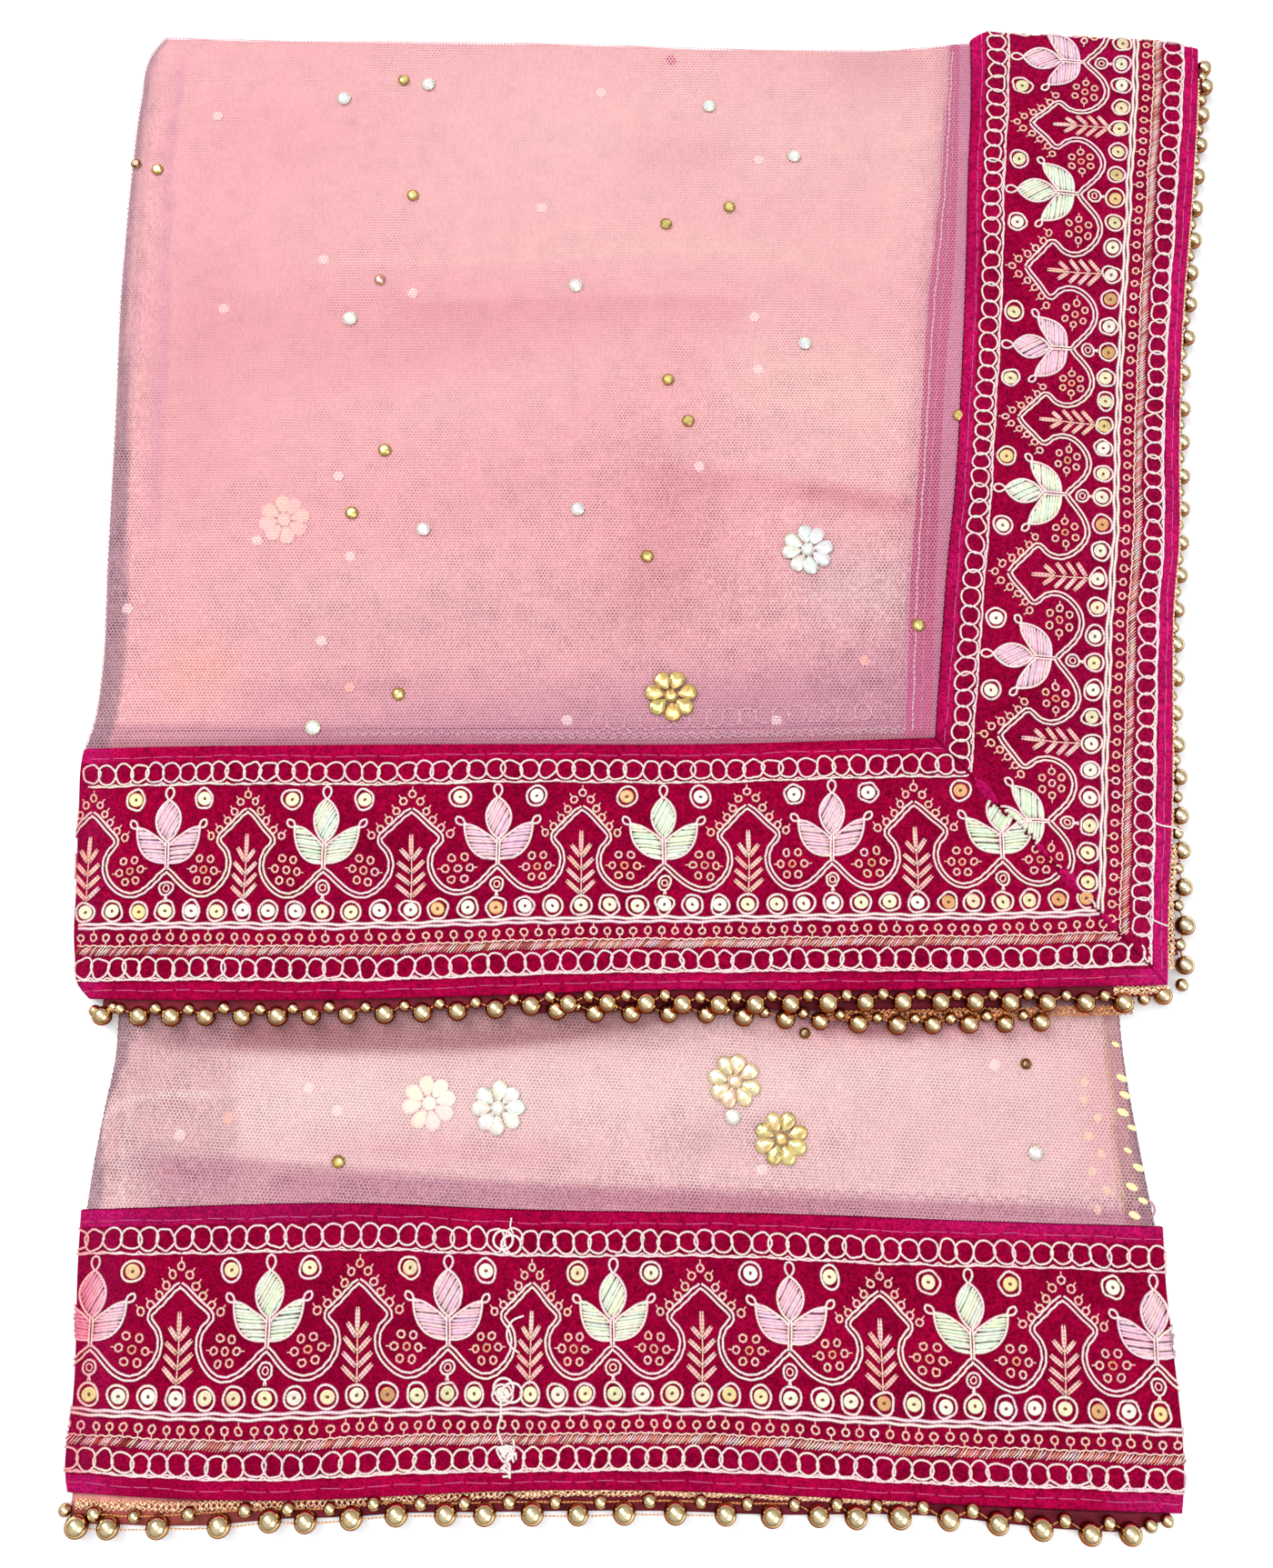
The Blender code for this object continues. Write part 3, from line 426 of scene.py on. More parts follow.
class Bag:
    """Gathers points, quads and triangles for one piece, with a tint and a length a point."""

    def __init__(self):
        self.points, self.quads, self.tris, self.tints = [], [], [], []
        self.count = 0

    def add(self, points, quads=None, tris=None, tint=PLAIN, length=0.0):
        points = np.reshape(np.asarray(points, float), (-1, 3))
        for faces, more in ((self.quads, quads), (self.tris, tris)):
            if more is not None:
                faces.append(np.asarray(more) + self.count)
        colour = np.empty((len(points), 4))
        colour[:, :3] = tint
        colour[:, 3] = np.reshape(length, -1) if np.ndim(length) else length
        self.points.append(points)
        self.tints.append(colour)
        self.count += len(points)

    def tube(self, path, width, height, tint, normal=UP, closed=False, taper=None, edge=PLAIN):
        """A thread of four sides: width across it and height along its normal, both half sizes.

        edge: what the tint of its two sides is multiplied by, a painted shade along the thread's sides.
        """
        normal = np.broadcast_to(normal, path.shape)
        if closed:
            along = np.roll(path, -1, axis=0) - np.roll(path, 1, axis=0)
        else:
            along = np.gradient(path, axis=0)
        side = unit(np.cross(normal, along))
        turn = np.arange(4) * 2 * math.pi / 4
        size = np.ones(len(path)) if taper is None else np.asarray(taper, float)
        ring = side[:, None] * np.cos(turn)[:, None] * width
        ring = ring + normal[:, None] * np.sin(turn)[:, None] * height
        points = path[:, None] + ring * size[:, None, None]
        quads = grid_quads(len(path), 4, ring_rows=closed, ring_columns=True)
        if not closed:
            last = len(points) * 4 - 4
            quads = np.concatenate([quads, [[3, 2, 1, 0], [last, last + 1, last + 2, last + 3]]])
        # painted shade on the thread's two sides
        shade = np.where(np.abs(np.cos(turn))[:, None] > 0.5, edge, 1.0)
        tint = np.broadcast_to(tint, (len(path), 3))[:, None] * shade
        self.add(points, quads, tint=tint.reshape(-1, 3), length=np.repeat(travelled(path), 4))

    def slab(self, x, y, top, foot, tint):
        """A closed wall between two heights over one outline."""
        size = x.size
        points = np.concatenate([np.stack([x, y, z], axis=-1).reshape(-1, 3) for z in (top, foot)])
        quads = grid_quads(*x.shape)
        ids = np.arange(size).reshape(x.shape)
        rim = np.concatenate([ids[0, :-1], ids[:-1, -1], ids[-1, :0:-1], ids[:0:-1, 0]])
        after = np.roll(rim, -1)
        walls = np.stack([rim, rim + size, after + size, after], axis=1)
        tint = np.reshape(np.broadcast_to(tint, (*x.shape, 3)), (-1, 3))
        faces = np.concatenate([quads, quads[:, ::-1] + size, walls])
        self.add(points, faces, tint=np.concatenate([tint, tint]))

    def sheet(self, x, y, z, tint, depth=0.0):
        tint = np.reshape(np.broadcast_to(tint, (*x.shape, 3)), (-1, 3))
        self.add(np.stack([x, y, z], axis=-1), grid_quads(*x.shape), tint=tint, length=depth)

    def piece(self, name, shader, slot, smooth=True, outward=False):
        """The gathered mesh as one object on the root body."""
        mesh = bpy.data.meshes.new(name)
        points = (np.concatenate(self.points) - CENTRE) * MM
        quads = np.concatenate([np.zeros((0, 4), int), *self.quads])
        tris = np.concatenate([np.zeros((0, 3), int), *self.tris])
        corners = np.concatenate([quads.ravel(), tris.ravel()])
        starts = [np.arange(len(quads)) * 4, len(quads) * 4 + np.arange(len(tris)) * 3]
        mesh.vertices.add(len(points))
        mesh.vertices.foreach_set("co", points.ravel())
        mesh.loops.add(len(corners))
        mesh.loops.foreach_set("vertex_index", corners.astype(np.int32))
        mesh.polygons.add(len(quads) + len(tris))
        mesh.polygons.foreach_set("loop_start", np.concatenate(starts).astype(np.int32))
        mesh.update(calc_edges=True)
        tint = mesh.color_attributes.new("tint", "FLOAT_COLOR", "POINT")
        tint.data.foreach_set("color", np.concatenate(self.tints).ravel())
        if outward:
            shape = bmesh.new()
            shape.from_mesh(mesh)
            bmesh.ops.recalc_face_normals(shape, faces=list(shape.faces))
            shape.to_mesh(mesh)
            shape.free()
        mesh.polygons.foreach_set("use_smooth", np.full(len(mesh.polygons), smooth))
        mesh.materials.append(FINISH[shader])
        placed = put_in_scene(name, mesh)
        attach(placed, "root")
        return placed


def put_in_scene(name, data):
    placed = bpy.data.objects.new(name, data)
    bpy.context.scene.collection.objects.link(placed)
    return placed


def travelled(path):
    """The distance along a path at each of its points."""
    steps = np.linalg.norm(np.diff(path, axis=0), axis=1)
    return np.concatenate([[0.0], np.cumsum(steps)])


def smooth_path(points, step, closed=False):
    """A smooth curve through the points, a point about every step."""
    points = np.asarray(points, float)
    if closed:
        run = np.concatenate([points[-1:], points, points[:2]])
    else:
        run = np.concatenate([2 * points[:1] - points[1:2], points, 2 * points[-1:] - points[-2:-1]])
    parts = []
    for a, b, c, d in zip(run, run[1:], run[2:], run[3:]):
        count = max(1, round(float(np.linalg.norm(c - b)) / step))
        t = np.arange(count)[:, None] / count
        bend = (2 * a - 5 * b + 4 * c - d) * t**2 + (3 * b - a - 3 * c + d) * t**3
        parts.append(0.5 * (2 * b + (c - a) * t + bend))
    return np.concatenate(parts if closed else [*parts, points[-1:]])


def beside(path, distance):
    """The path moved to its left."""
    along = unit(np.gradient(path, axis=0))
    return path + np.stack([-along[:, 1], along[:, 0]], axis=1) * distance


def satin_strands(outline, turn, pitch):
    """Pairs of end points of parallel strands that fill an outline."""
    cos, sin = math.cos(turn), math.sin(turn)
    along, across = outline @ (cos, sin), outline @ (-sin, cos)
    next_along, next_across = np.roll(along, -1), np.roll(across, -1)
    pairs = []
    for level in np.arange(across.min() + pitch * 0.4, across.max(), pitch):
        crossed = (across <= level) != (next_across <= level)
        share = (level - across[crossed]) / (next_across[crossed] - across[crossed])
        spots = along[crossed] + share * (next_along[crossed] - along[crossed])
        if len(spots) > 1 and np.ptp(spots) > 0.8:
            ends = np.array((spots.min(), spots.max()))
            pairs.append(np.stack([ends * cos - level * sin, ends * sin + level * cos], axis=1))
    return pairs


def ball(rings, points):
    """A unit ball's points and faces."""
    rise = np.linspace(-math.pi / 2, math.pi / 2, rings + 2)[1:-1, None, None]
    spots = np.cos(rise) * circle(1.0, points)
    spots = np.concatenate([spots, np.broadcast_to(np.sin(rise), (rings, points, 1))], axis=-1)
    spots = np.concatenate([spots.reshape(-1, 3), [(0, 0, -1), (0, 0, 1)]])
    low, high = len(spots) - 2, len(spots) - 1
    tips = fan(0, points, low, flip=True), fan((rings - 1) * points, points, high)
    return spots, grid_quads(rings, points, ring_columns=True), np.concatenate(tips)


# The direction of the beads' painted light, and the brown painted shade they take where they face away
# from it.
BEAD_LIGHT_FACING = np.array((0.22, 0.30, 0.93))
BEAD_PAINTED_SHADE = np.array((0.30, 0.115, 0.05))


def put_balls(bag, centres, radii, tints, template):
    """Plated beads with painted shade: browner in the lower half and where they face away from the
    painted light.
    """
    spots, quads, tris = template
    lit = 1 - 0.94 * near(spots @ BEAD_LIGHT_FACING - 0.24, 0.58)
    colour = BEAD_PAINTED_SHADE + (1 - BEAD_PAINTED_SHADE) * lit[:, None]
    for centre, radius, tint in zip(centres, radii, tints):
        bag.add(centre + spots * radius, quads, tris, tint=colour * tint)


def round_form(bag, centre, axes, profile, sides, tint, wave=0.0, phase=0.0):
    """A turned form on a surface: the profile's columns are radius and height, to a last point."""
    side, over, normal = axes
    turn = np.arange(sides) * 2 * math.pi / sides
    rows = []
    for radius, height in profile[:-1]:
        reach = radius * (1 + wave * np.cos(turn * 2 + phase))
        spot = side * (np.cos(turn) * reach)[:, None] + over * (np.sin(turn) * reach)[:, None]
        rows.append(centre + spot + normal * height)
    points = np.concatenate([*rows, [centre + normal * profile[-1][1]]])
    tip = fan((len(rows) - 1) * sides, sides, len(points) - 1)
    bag.add(points, grid_quads(len(rows), sides, ring_columns=True), tip, tint=tint)


def curve_at(table, where):
    """The second column as a smooth curve of the first, and straight beyond the table's ends."""
    xs, ys = np.array(table, float).T
    slopes = np.gradient(ys, xs)
    where = np.asarray(where, float)
    i = np.clip(np.searchsorted(xs, where) - 1, 0, len(xs) - 2)
    span = xs[i + 1] - xs[i]
    t = np.clip((where - xs[i]) / span, 0.0, 1.0)
    inside = (
        ys[i] * (1 + 2 * t) * (1 - t) ** 2
        + ys[i + 1] * t * t * (3 - 2 * t)
        + span * (slopes[i] * t * (1 - t) ** 2 - slopes[i + 1] * t * t * (1 - t))
    )
    before = np.minimum(where - xs[0], 0.0) * slopes[0]
    beyond = np.maximum(where - xs[-1], 0.0) * slopes[-1]
    return inside + before + beyond


def near(distance, reach):
    """1 at no distance, falling smoothly to 0 at reach."""
    t = np.clip(distance / reach, 0.0, 1.0)
    return 1 - t * t * (3 - 2 * t)


def mix(a, b, share):
    return a + (b - a) * share


def shares(length, count, first=(), last=()):
    """Shares of a length, evenly spaced, with rows at set distances from either end."""
    start = first[-1] if first else 0.0
    end = length - (last[-1] if last else 0.0)
    middle = np.linspace(start, end, count + 1)
    rows = [*first[:-1], *middle, *(length - d for d in reversed(last[:-1]))]
    return np.array(rows) / length


def fine_rows(run):
    """Distances from a turned edge at which the mesh needs a row."""
    return tuple(run * (1 - math.sin(math.radians(a))) for a in (90, 79, 68, 57, 46, 35, 24, 12, 0))


def settle(u, v, sides, ends, low, high):
    """A panel's points: its sides are x at a height, its ends are y at a place."""
    y = mix(low, high, v)
    for _ in range(SETTLING):
        left, right = sides(y)
        x = mix(left, right, u)
        foot, head = ends(x)
        y = mix(foot, head, v)
    return x, y


# --- levels ----------------------------------------------------------------------------------
def swell(x, y, row):
    """A soft long patch: its row's columns are x, y, turn, half length, half width and share."""
    cx, cy, turn, half_length, half_width, share = row[:6]
    cos, sin = math.cos(math.radians(turn)), math.sin(math.radians(turn))
    along, across = (x - cx) * cos + (y - cy) * sin, (y - cy) * cos - (x - cx) * sin
    return share * np.exp(-((along / half_length) ** 4) - (across / half_width) ** 2)


def swells(x, y, rows):
    return sum(swell(x, y, row) for row in rows)


def crease_height(x, y):
    """The creases and swells, summed, with three slow ripples."""
    height = swells(x, y, CREASES)
    for wavelength, turn, rise in RIPPLES:
        phase = (x * math.cos(turn) + y * math.sin(turn)) * 2 * math.pi / wavelength
        height = height + rise * np.sin(phase + turn)
    return height


def leaf_level(x, y):
    """Height of the upper leaf without its creases, and how near its borders are."""
    by_side = near(curve_at(SIDE_INNER, y) - x, SIDE_REACH)
    by_end = near(y - curve_at(END_INNER, x), END_REACH)
    by_border = 1 - (1 - by_side) * (1 - by_end)
    by_fold = near(x - curve_at(UPPER_LEFT, y), LEFT_REACH)
    return NET_LEVEL + BORDER_RISE * by_border - LEFT_SLUMP * by_fold, by_border


def net_level(x, y):
    """Height of the net's face over the upper leaf, before its edges are turned."""
    level, by_border = leaf_level(x, y)
    return level + crease_height(x, y) * (1 - 0.75 * by_border)


def hidden_level(x, y):
    """Height of the hidden plies' top, a little below the sheets that lie on it."""
    return leaf_level(x, y)[0] - NET_WALL - HIDDEN_GAP


def velvet_level(x, y):
    return net_level(x, y) + VELVET_LIFT


def velvet_face(x, y):
    return velvet_level(x, y) + pucker(x, y)


def under_velvet(line):
    """Height just below the velvet along a line."""
    return velvet_level(line[:, 0], line[:, 1]) - VELVET_WALL


def low_swell(x, y):
    """A slow unevenness of the lower leaf, never below 0."""
    reach_x, reach_y, lean = SWELL_REACH
    return LOW_SWELL * (1 + np.sin(x / reach_x + 0.7) * np.cos(y / reach_y + x / lean))


def low_net_level(x, y):
    return LOW_NET_TOP + low_swell(x, y) + swells(x, y, LOW_CREASES)


def low_band_level(x, y):
    join = near(x - LOW_JOIN_X, JOIN_REACH)
    return LOW_BAND_TOP_LEVEL + low_swell(x, y) + LOW_JOIN_STEP * join


def low_band_face(x, y):
    return low_band_level(x, y) + pucker(x, y) * LOW_PUCKER


def pucker(x, y):
    """The small swells that the stitching leaves in the velvet."""
    return 0.10 * np.sin(x / 4.1 + 1.3 * np.sin(y / 9.0)) * np.sin(y / 5.3 + x / 23.0)


def net_face(y):
    """The level of the net on the leaf that lies at this y."""
    return net_level if y > END_INNER[0][1] else low_net_level


def level_at(x, y):
    return float(net_face(y)(np.float64(x), np.float64(y)))


def turned(distance, run, fall):
    """How far a rounded edge has fallen at this distance from it."""
    t = np.clip(1 - distance / run, 0.0, 1.0)
    return fall * (1 - np.sqrt(1 - t * t))


def wall_heights(flat, wall, *folds):
    """Top and foot of a wall whose edges turn down. Each fold is a distance, a run and a fall."""
    top_fall = foot_fall = np.zeros_like(flat)
    for distance, run, fall in folds:
        top_fall = np.maximum(top_fall, turned(distance, run, fall))
        foot_fall = np.maximum(foot_fall, turned(distance - wall, run - wall, fall))
    return flat - top_fall, flat - wall - foot_fall


# --- hidden plies ----------------------------------------------------------------------------
HIDDEN_GAP = 0.9
RIM_FALL = 0.35
HIDDEN_CORNERS = ((-221, -84), (216, -79), (257, 340), (-217, 345))
HIDDEN_INSET = {"front": 6.4, "right": 2.9, "back": 4.2, "left": 2.4}
MARGIN_REACH = 150.0
NEAR_LEFT_INSET = 6.0


def back_edge(x):
    return np.where(x < SIDE_INNER[-1][1], curve_at(NET_TOP, x), curve_at(SIDE_TOP, x))


def hidden_outline(count):
    """Points round the hidden plies, counter-clockwise from the front left corner."""
    share = (np.arange(count // 4) + 0.5) / (count // 4)
    left_front, right_front, right_back, left_back = HIDDEN_CORNERS
    front_x = mix(left_front[0], right_front[0], share)
    front_y = curve_at(END_OUTER, front_x) + HIDDEN_INSET["front"]
    right_y = mix(right_front[1], right_back[1], share)
    right_x = curve_at(SIDE_OUTER, right_y) - HIDDEN_INSET["right"]
    back_x = mix(right_back[0], left_back[0], share)
    back_y = back_edge(back_x) - HIDDEN_INSET["back"]
    left_y = mix(left_back[1], left_front[1], share)
    inset = HIDDEN_INSET["left"] + NEAR_LEFT_INSET * near(left_y - END_INNER[0][1], MARGIN_REACH)
    left_x = curve_at(UPPER_LEFT, left_y) + inset
    x = np.concatenate([front_x, right_x, back_x, left_x])
    y = np.concatenate([front_y, right_y, back_y, left_y])
    return np.stack([x, y], axis=-1)


# --- the borders' charts ---------------------------------------------------------------------
REPEAT = 70.0
BORDER = 100.0  # width of a border in its own chart
# Where the lotuses stand. Columns: place along the chart, x or y of the lotus.
END_LOTUS = ((0, -194.7), (70, -129.5), (140, -57.8), (210, 11.3), (280, 81.2), (350, 151.5))
SIDE_LOTUS = ((0, 338.2), (70, 271.2), (140, 195.8), (210, 128.1), (280, 54.1), (350, -15.7))
LOW_LOTUS = (
    (0, -216.2), (70, -146.5), (140, -75.1), (210, -9.4), (280, 61), (350, 133), (420, 206.4),
)
SIDE_LEAN = -0.087  # how far a line across the side border turns from the x axis
SIDE_LEVEL_ROW = 35.0  # the row across it that stays in place
# Plain turned-in velvet beside the mitre's seam. Columns: across, half length, width on the end
# border's side, width on the side border's.
MITER_BARE = ((22, 5.4, 3, 2), (46, 3.2, 1, 1.5), (58.4, 4.8, 2.9, 2.9), (75, 3.6, 1.5, 1.9))
# Where the end border's threads reach over the seam. Columns: start and end across, how far,
# and how far the side border's stay away.
MITER_OVER = ((27, 44, 1.5, -0.3), (84, 91.4, 5.8, 5.2))


def wrap_fold(distance, run, fall):
    """Lays flat cloth round a turned edge: where a point comes to rest, and how far it falls."""
    turn = np.clip((run - distance) / (0.5 * (run + fall)), 0.0, math.pi / 2)
    return np.where(distance < run, run - run * np.sin(turn), distance), fall * (1 - np.cos(turn))


def end_left(t):
    """The end border's left edge, by the share of the way across it."""
    return curve_at(UPPER_LEFT, mix(END_INNER[0][1], UPPER_LEFT[0][0], t))


def side_back(s):
    return curve_at(SIDE_TOP, mix(SIDE_TOP[0][0], SIDE_TOP[-1][0], s))


def end_surface(along, across):
    """Points of the upper end border, and whether they show."""
    t = across / BORDER
    left = end_left(t)
    distance = curve_at(END_LOTUS, along) - left
    rest, fall = wrap_fold(distance, *VELVET_NOSE)
    x = left + rest
    y = mix(curve_at(END_INNER, x), curve_at(END_OUTER, x), t)
    miter = mix(CORNER_IN[1], CORNER_OUT[1], t)
    shown = (distance > -1.5) & (x < miter - MITER_GAP - miter_margin(across, -1))
    return np.stack([x, y, velvet_face(x, y) - fall], axis=-1), shown


def side_surface(along, across):
    """Points of the upper side border, and whether they show."""
    t = across / BORDER
    y = curve_at(SIDE_LOTUS, along) + SIDE_LEAN * (across - SIDE_LEVEL_ROW)
    back = side_back(t)
    distance = back - y
    middle = velvet_level(curve_at(SIDE_INNER, y), y) - VELVET_WALL
    rest, fall = wrap_fold(distance, BACK_RUN, middle)
    y = back - rest
    x = mix(curve_at(SIDE_INNER, y), curve_at(SIDE_OUTER, y), t)
    corner = mix(CORNER_IN[0], CORNER_OUT[0], t)
    shown = (distance > -5.0) & (y > corner + miter_margin(across, 1))
    return np.stack([x, y, velvet_face(x, y) - fall], axis=-1), shown


def low_surface(along, across):
    """Points of the lower border, and whether they show."""
    t = across / BORDER
    x = curve_at(LOW_LOTUS, along)
    y = mix(curve_at(LOW_BAND_TOP, x), curve_at(LOW_BAND_FOOT, x), t)
    left, right = curve_at(LOW_BAND_LEFT, y), curve_at(LOW_BAND_RIGHT, y)
    from_left, fall_left = wrap_fold(x - left, LOW_FOLD_RUN, LOW_BAND_FALL)
    from_right, fall_right = wrap_fold(right - x, LOW_FOLD_RUN, LOW_BAND_FALL)
    shown = (x > left - 0.9) & (x < right + 0.9)
    x = np.where(x < 0, left + from_left, right - from_right)
    return np.stack([x, y, low_band_face(x, y) - fall_left - fall_right], axis=-1), shown


def miter_margin(across, side):
    """How far the embroidery stays from the mitre."""
    margin = np.full(np.shape(across), 0.12)
    for middle, half, on_end, on_side in MITER_BARE:
        wide = on_end if side < 0 else on_side
        margin = np.maximum(margin, wide * near(np.abs(across - middle), half * 1.4))
    for start, end, on_end, on_side in MITER_OVER:
        inside = (across > start) & (across < end)
        margin = np.where(inside, -on_end if side < 0 else on_side, margin)
    return margin


# --- embroidery ------------------------------------------------------------------------------
CREAM = seen(268, 251, 247)
ROSE = seen(262, 222, 202)
# Painted shade on a thread's two sides.
THREAD_SIDE_SHADE = np.array((0.74, 0.48, 0.52))  # a thread's sides against its top
# Painted shade: threads are tinted redder towards a left fold, satin the most.
FOLD_SHADE = np.array((0.94, 0.42, 0.46))  # threads redden towards a left fold
FOLD_SHADE_SATIN = np.array((0.96, 0.22, 0.34))
FOLD_SHADE_REACH = 17.0
PINK_SATIN, GREEN_SATIN = seen(246, 204, 216), seen(236, 244, 218)
STITCH_PINK = seen(216, 84, 140)
SEQUIN_TINTS = (
    seen(244, 232, 186), seen(252, 246, 222), seen(236, 206, 142), seen(214, 160, 104),
)
SEQUIN_ODDS = (0.42, 0.38, 0.13, 0.07)
DOT = seen(124, 66, 36)

# A border's rows, by how far each is from the inner edge.
STITCH_ROWS = (4.3, 96.6)
CHAIN_ROWS = ((10.8, 15.9, 0.0), (88.2, 92.6, 2.0))  # middle, line of thread, shift
ARCH_PEAK = 27.2
RING_SEQUIN = (15.5, 21.9)  # how far from the lotus along the border, and its row
RING_FLOWER = (16.4, 49.8)
SEQUIN_ROW = 65.8
DOUBLE_ROW = 71.7
EYELET_ROW = 76.3
ROPE_ROW = 81.5
THREAD = 1.2  # width of the cream thread
CHAIN_PITCH = 7.3
EYELET_PITCH = 5.7

# Right half of each outline. Columns: along from the lotus, across from the inner edge.
SCROLL_FOOT = (
    (0, 49.4), (2.4, 51.2), (5.2, 54), (9.6, 57.6), (14.4, 59.4), (18.6, 59), (22.4, 56.8),
    (25.6, 53.2), (27.2, 49.4), (27.2, 45.6), (25.9, 42.4), (24, 40.4), (22.9, 38.9),
)
SCROLL_HEAD = (
    (22.9, 38.9), (23, 37.4), (24.6, 35.6), (27.4, 33.2), (30.2, 30.4), (32.9, 27.9), (35, 26.6),
)
CENTRE_PETAL = ((0, 21.9), (2.6, 24), (4.7, 27.2), (5.2, 30.6), (4.2, 34.2), (2.2, 37), (0, 38.8))
SIDE_PETAL_TOP = ((14, 32.6), (9.6, 33.8), (5.6, 36.2), (2.2, 38.6), (0.5, 40.6))
SIDE_PETAL_FOOT = ((0.5, 46.8), (4.4, 46.6), (8.6, 45), (11.8, 41.6), (13.4, 37.4), (14, 32.6))
SIDE_PETAL_LOOP = ((13.8, 32.8), (14.6, 30.6), (16.6, 30), (17.1, 31.6), (15.8, 33))
CENTRE_PETAL_LOOP = ((0, 22), (-1.7, 19.6), (-1.2, 17.4), (0, 16.8), (1.2, 17.4), (1.7, 19.6))
# Small rings outside the arch, from its peak.
ARCH_RINGS = ((0, -6.9), (3.4, -4), (5.9, -0.1), (8.6, 3.5), (12, 6.9), (15.7, 9.3))
# Columns: foot and tip of a leaf across the border, and how far its tip stands out.
SPRIG_LEAVES = ((46.2, 41.4, 4), (51.2, 46.5, 5.2), (56, 51.2, 5.6), (60.6, 55.6, 5.8))


class Embroidery:
    """Threads and sequins drawn in a border's own chart, then laid on its surface."""

    def __init__(self, surface, facing, seed, fold):
        self.surface, self.facing, self.fold = surface, facing, fold
        self.random = np.random.default_rng(seed)
        self.phases = self.random.uniform(0, 2 * math.pi, 6)
        self.strokes, self.spots = [], []

    def wobble(self, points):
        """The small unevenness of machine embroidery, the same for all that lies together."""
        u, v = points[:, 0], points[:, 1]
        a, b, c, d, e, _ = self.phases
        shift_u = 0.22 * np.sin(u / 3.9 + a + 0.4 * np.sin(v / 7.0))
        shift_u = shift_u + 0.30 * np.sin(u / 17.0 + v / 11.0 + b)
        shift_v = 0.20 * np.sin(u / 4.7 + v / 6.1 + c) + 0.34 * np.sin(u / 21.0 + d)
        shift_v = shift_v + 0.2 * np.sin(v / 9.0 + e)
        return points + np.stack([shift_u, shift_v], axis=1)

    def sway(self, reach):
        return self.random.uniform(-reach, reach)

    def shade(self, colour, spread=0.08):
        return colour * (1 + self.random.uniform(-spread, spread, 3))

    def stroke(self, thread, points, width, colour, lift=0.30, height=None, spread=0.08,
               closed=False, taper=None):
        points = self.wobble(np.asarray(points, float))
        lift = np.broadcast_to(np.asarray(lift, float), (len(points),))
        sizes = width / 2, (height or width * 0.8) / 2
        tint = self.shade(colour, spread)
        self.strokes.append((thread, points, sizes, lift, tint, closed, taper))

    def cream(self, points, width, lift, **more):
        self.stroke("cream", points, width, CREAM, lift, **more)

    def ring(self, thread, u, v, radius, width, colour, lift=0.3, count=None):
        count = count or max(9, round(radius * 4.4))
        turn = np.arange(count) * 2 * math.pi / count + self.random.uniform(0, 6)
        reach = radius * (1 + self.sway(0.04))
        for order, share in ((2, 0.055), (3, 0.04), (5, 0.03)):
            start, swing = self.random.uniform(0, 6.3), self.random.normal(0, share)
            reach = reach + radius * swing * np.cos(order * turn + start)
        points = np.stack([u + reach * np.cos(turn), v + reach * np.sin(turn)], axis=1)
        self.stroke(thread, points, width, colour, lift, closed=True)

    def sequin(self, u, v, radius, whole=False):
        pick = self.random.choice(len(SEQUIN_TINTS), p=SEQUIN_ODDS)
        self.spots.append((u, v, radius, self.shade(SEQUIN_TINTS[pick], 0.06), whole))

    def lay(self):
        """The bags of threads and sequins, by thread."""
        bags = {}
        lengths = [len(stroke[1]) for stroke in self.strokes]
        flat = np.concatenate([stroke[1] for stroke in self.strokes])
        place, shown, _, _, normal = self.axes(flat)
        starts = np.concatenate([[0], np.cumsum(lengths)])
        for start, end, stroke in zip(starts, starts[1:], self.strokes):
            self.lay_stroke(bags, stroke, place[start:end], shown[start:end], normal[start:end])
        self.lay_spots(bags)
        return bags

    def axes(self, flat):
        """Places, whether they show, and the surface's three directions there."""
        small = 0.3
        place, shown = self.surface(flat[:, 0], flat[:, 1])
        ahead, _ = self.surface(flat[:, 0] + small, flat[:, 1])
        across, _ = self.surface(flat[:, 0], flat[:, 1] + small)
        side, over = unit(ahead - place), unit(across - place)
        normal = unit(np.cross(side, over) * self.facing + UP * 1e-4)
        return place, shown, side, unit(np.cross(normal, side)), normal

    def lay_stroke(self, bags, stroke, place, shown, normal):
        thread, _, sizes, lift, tint, closed, taper = stroke
        path = place + normal * lift[:, None]
        bag = bags.setdefault(thread, Bag())
        # painted shade: redder near the border's left fold
        blush = 0.85 * near(place[:, :1] - self.fold, FOLD_SHADE_REACH)
        tint = tint * (1 + ((FOLD_SHADE_SATIN if thread == "satin" else FOLD_SHADE) - 1) * blush)
        # satin and plain threads take no painted shade on their sides
        edge = PLAIN if thread in ("satin", "plain") else THREAD_SIDE_SHADE
        if shown.all():
            bag.tube(path, *sizes, tint, normal, closed, taper, edge)
            return
        if closed and shown.any():
            first = int(np.argmax(~shown))
            parts = path, normal, shown, tint
            path, normal, shown, tint = (np.roll(part, -first, axis=0) for part in parts)
        ends = np.flatnonzero(np.diff(np.concatenate([[0], shown.astype(int), [0]])))
        for start, end in zip(ends[::2], ends[1::2]):
            if end - start > 1:
                bag.tube(path[start:end], *sizes, tint[start:end], normal[start:end], edge=edge)

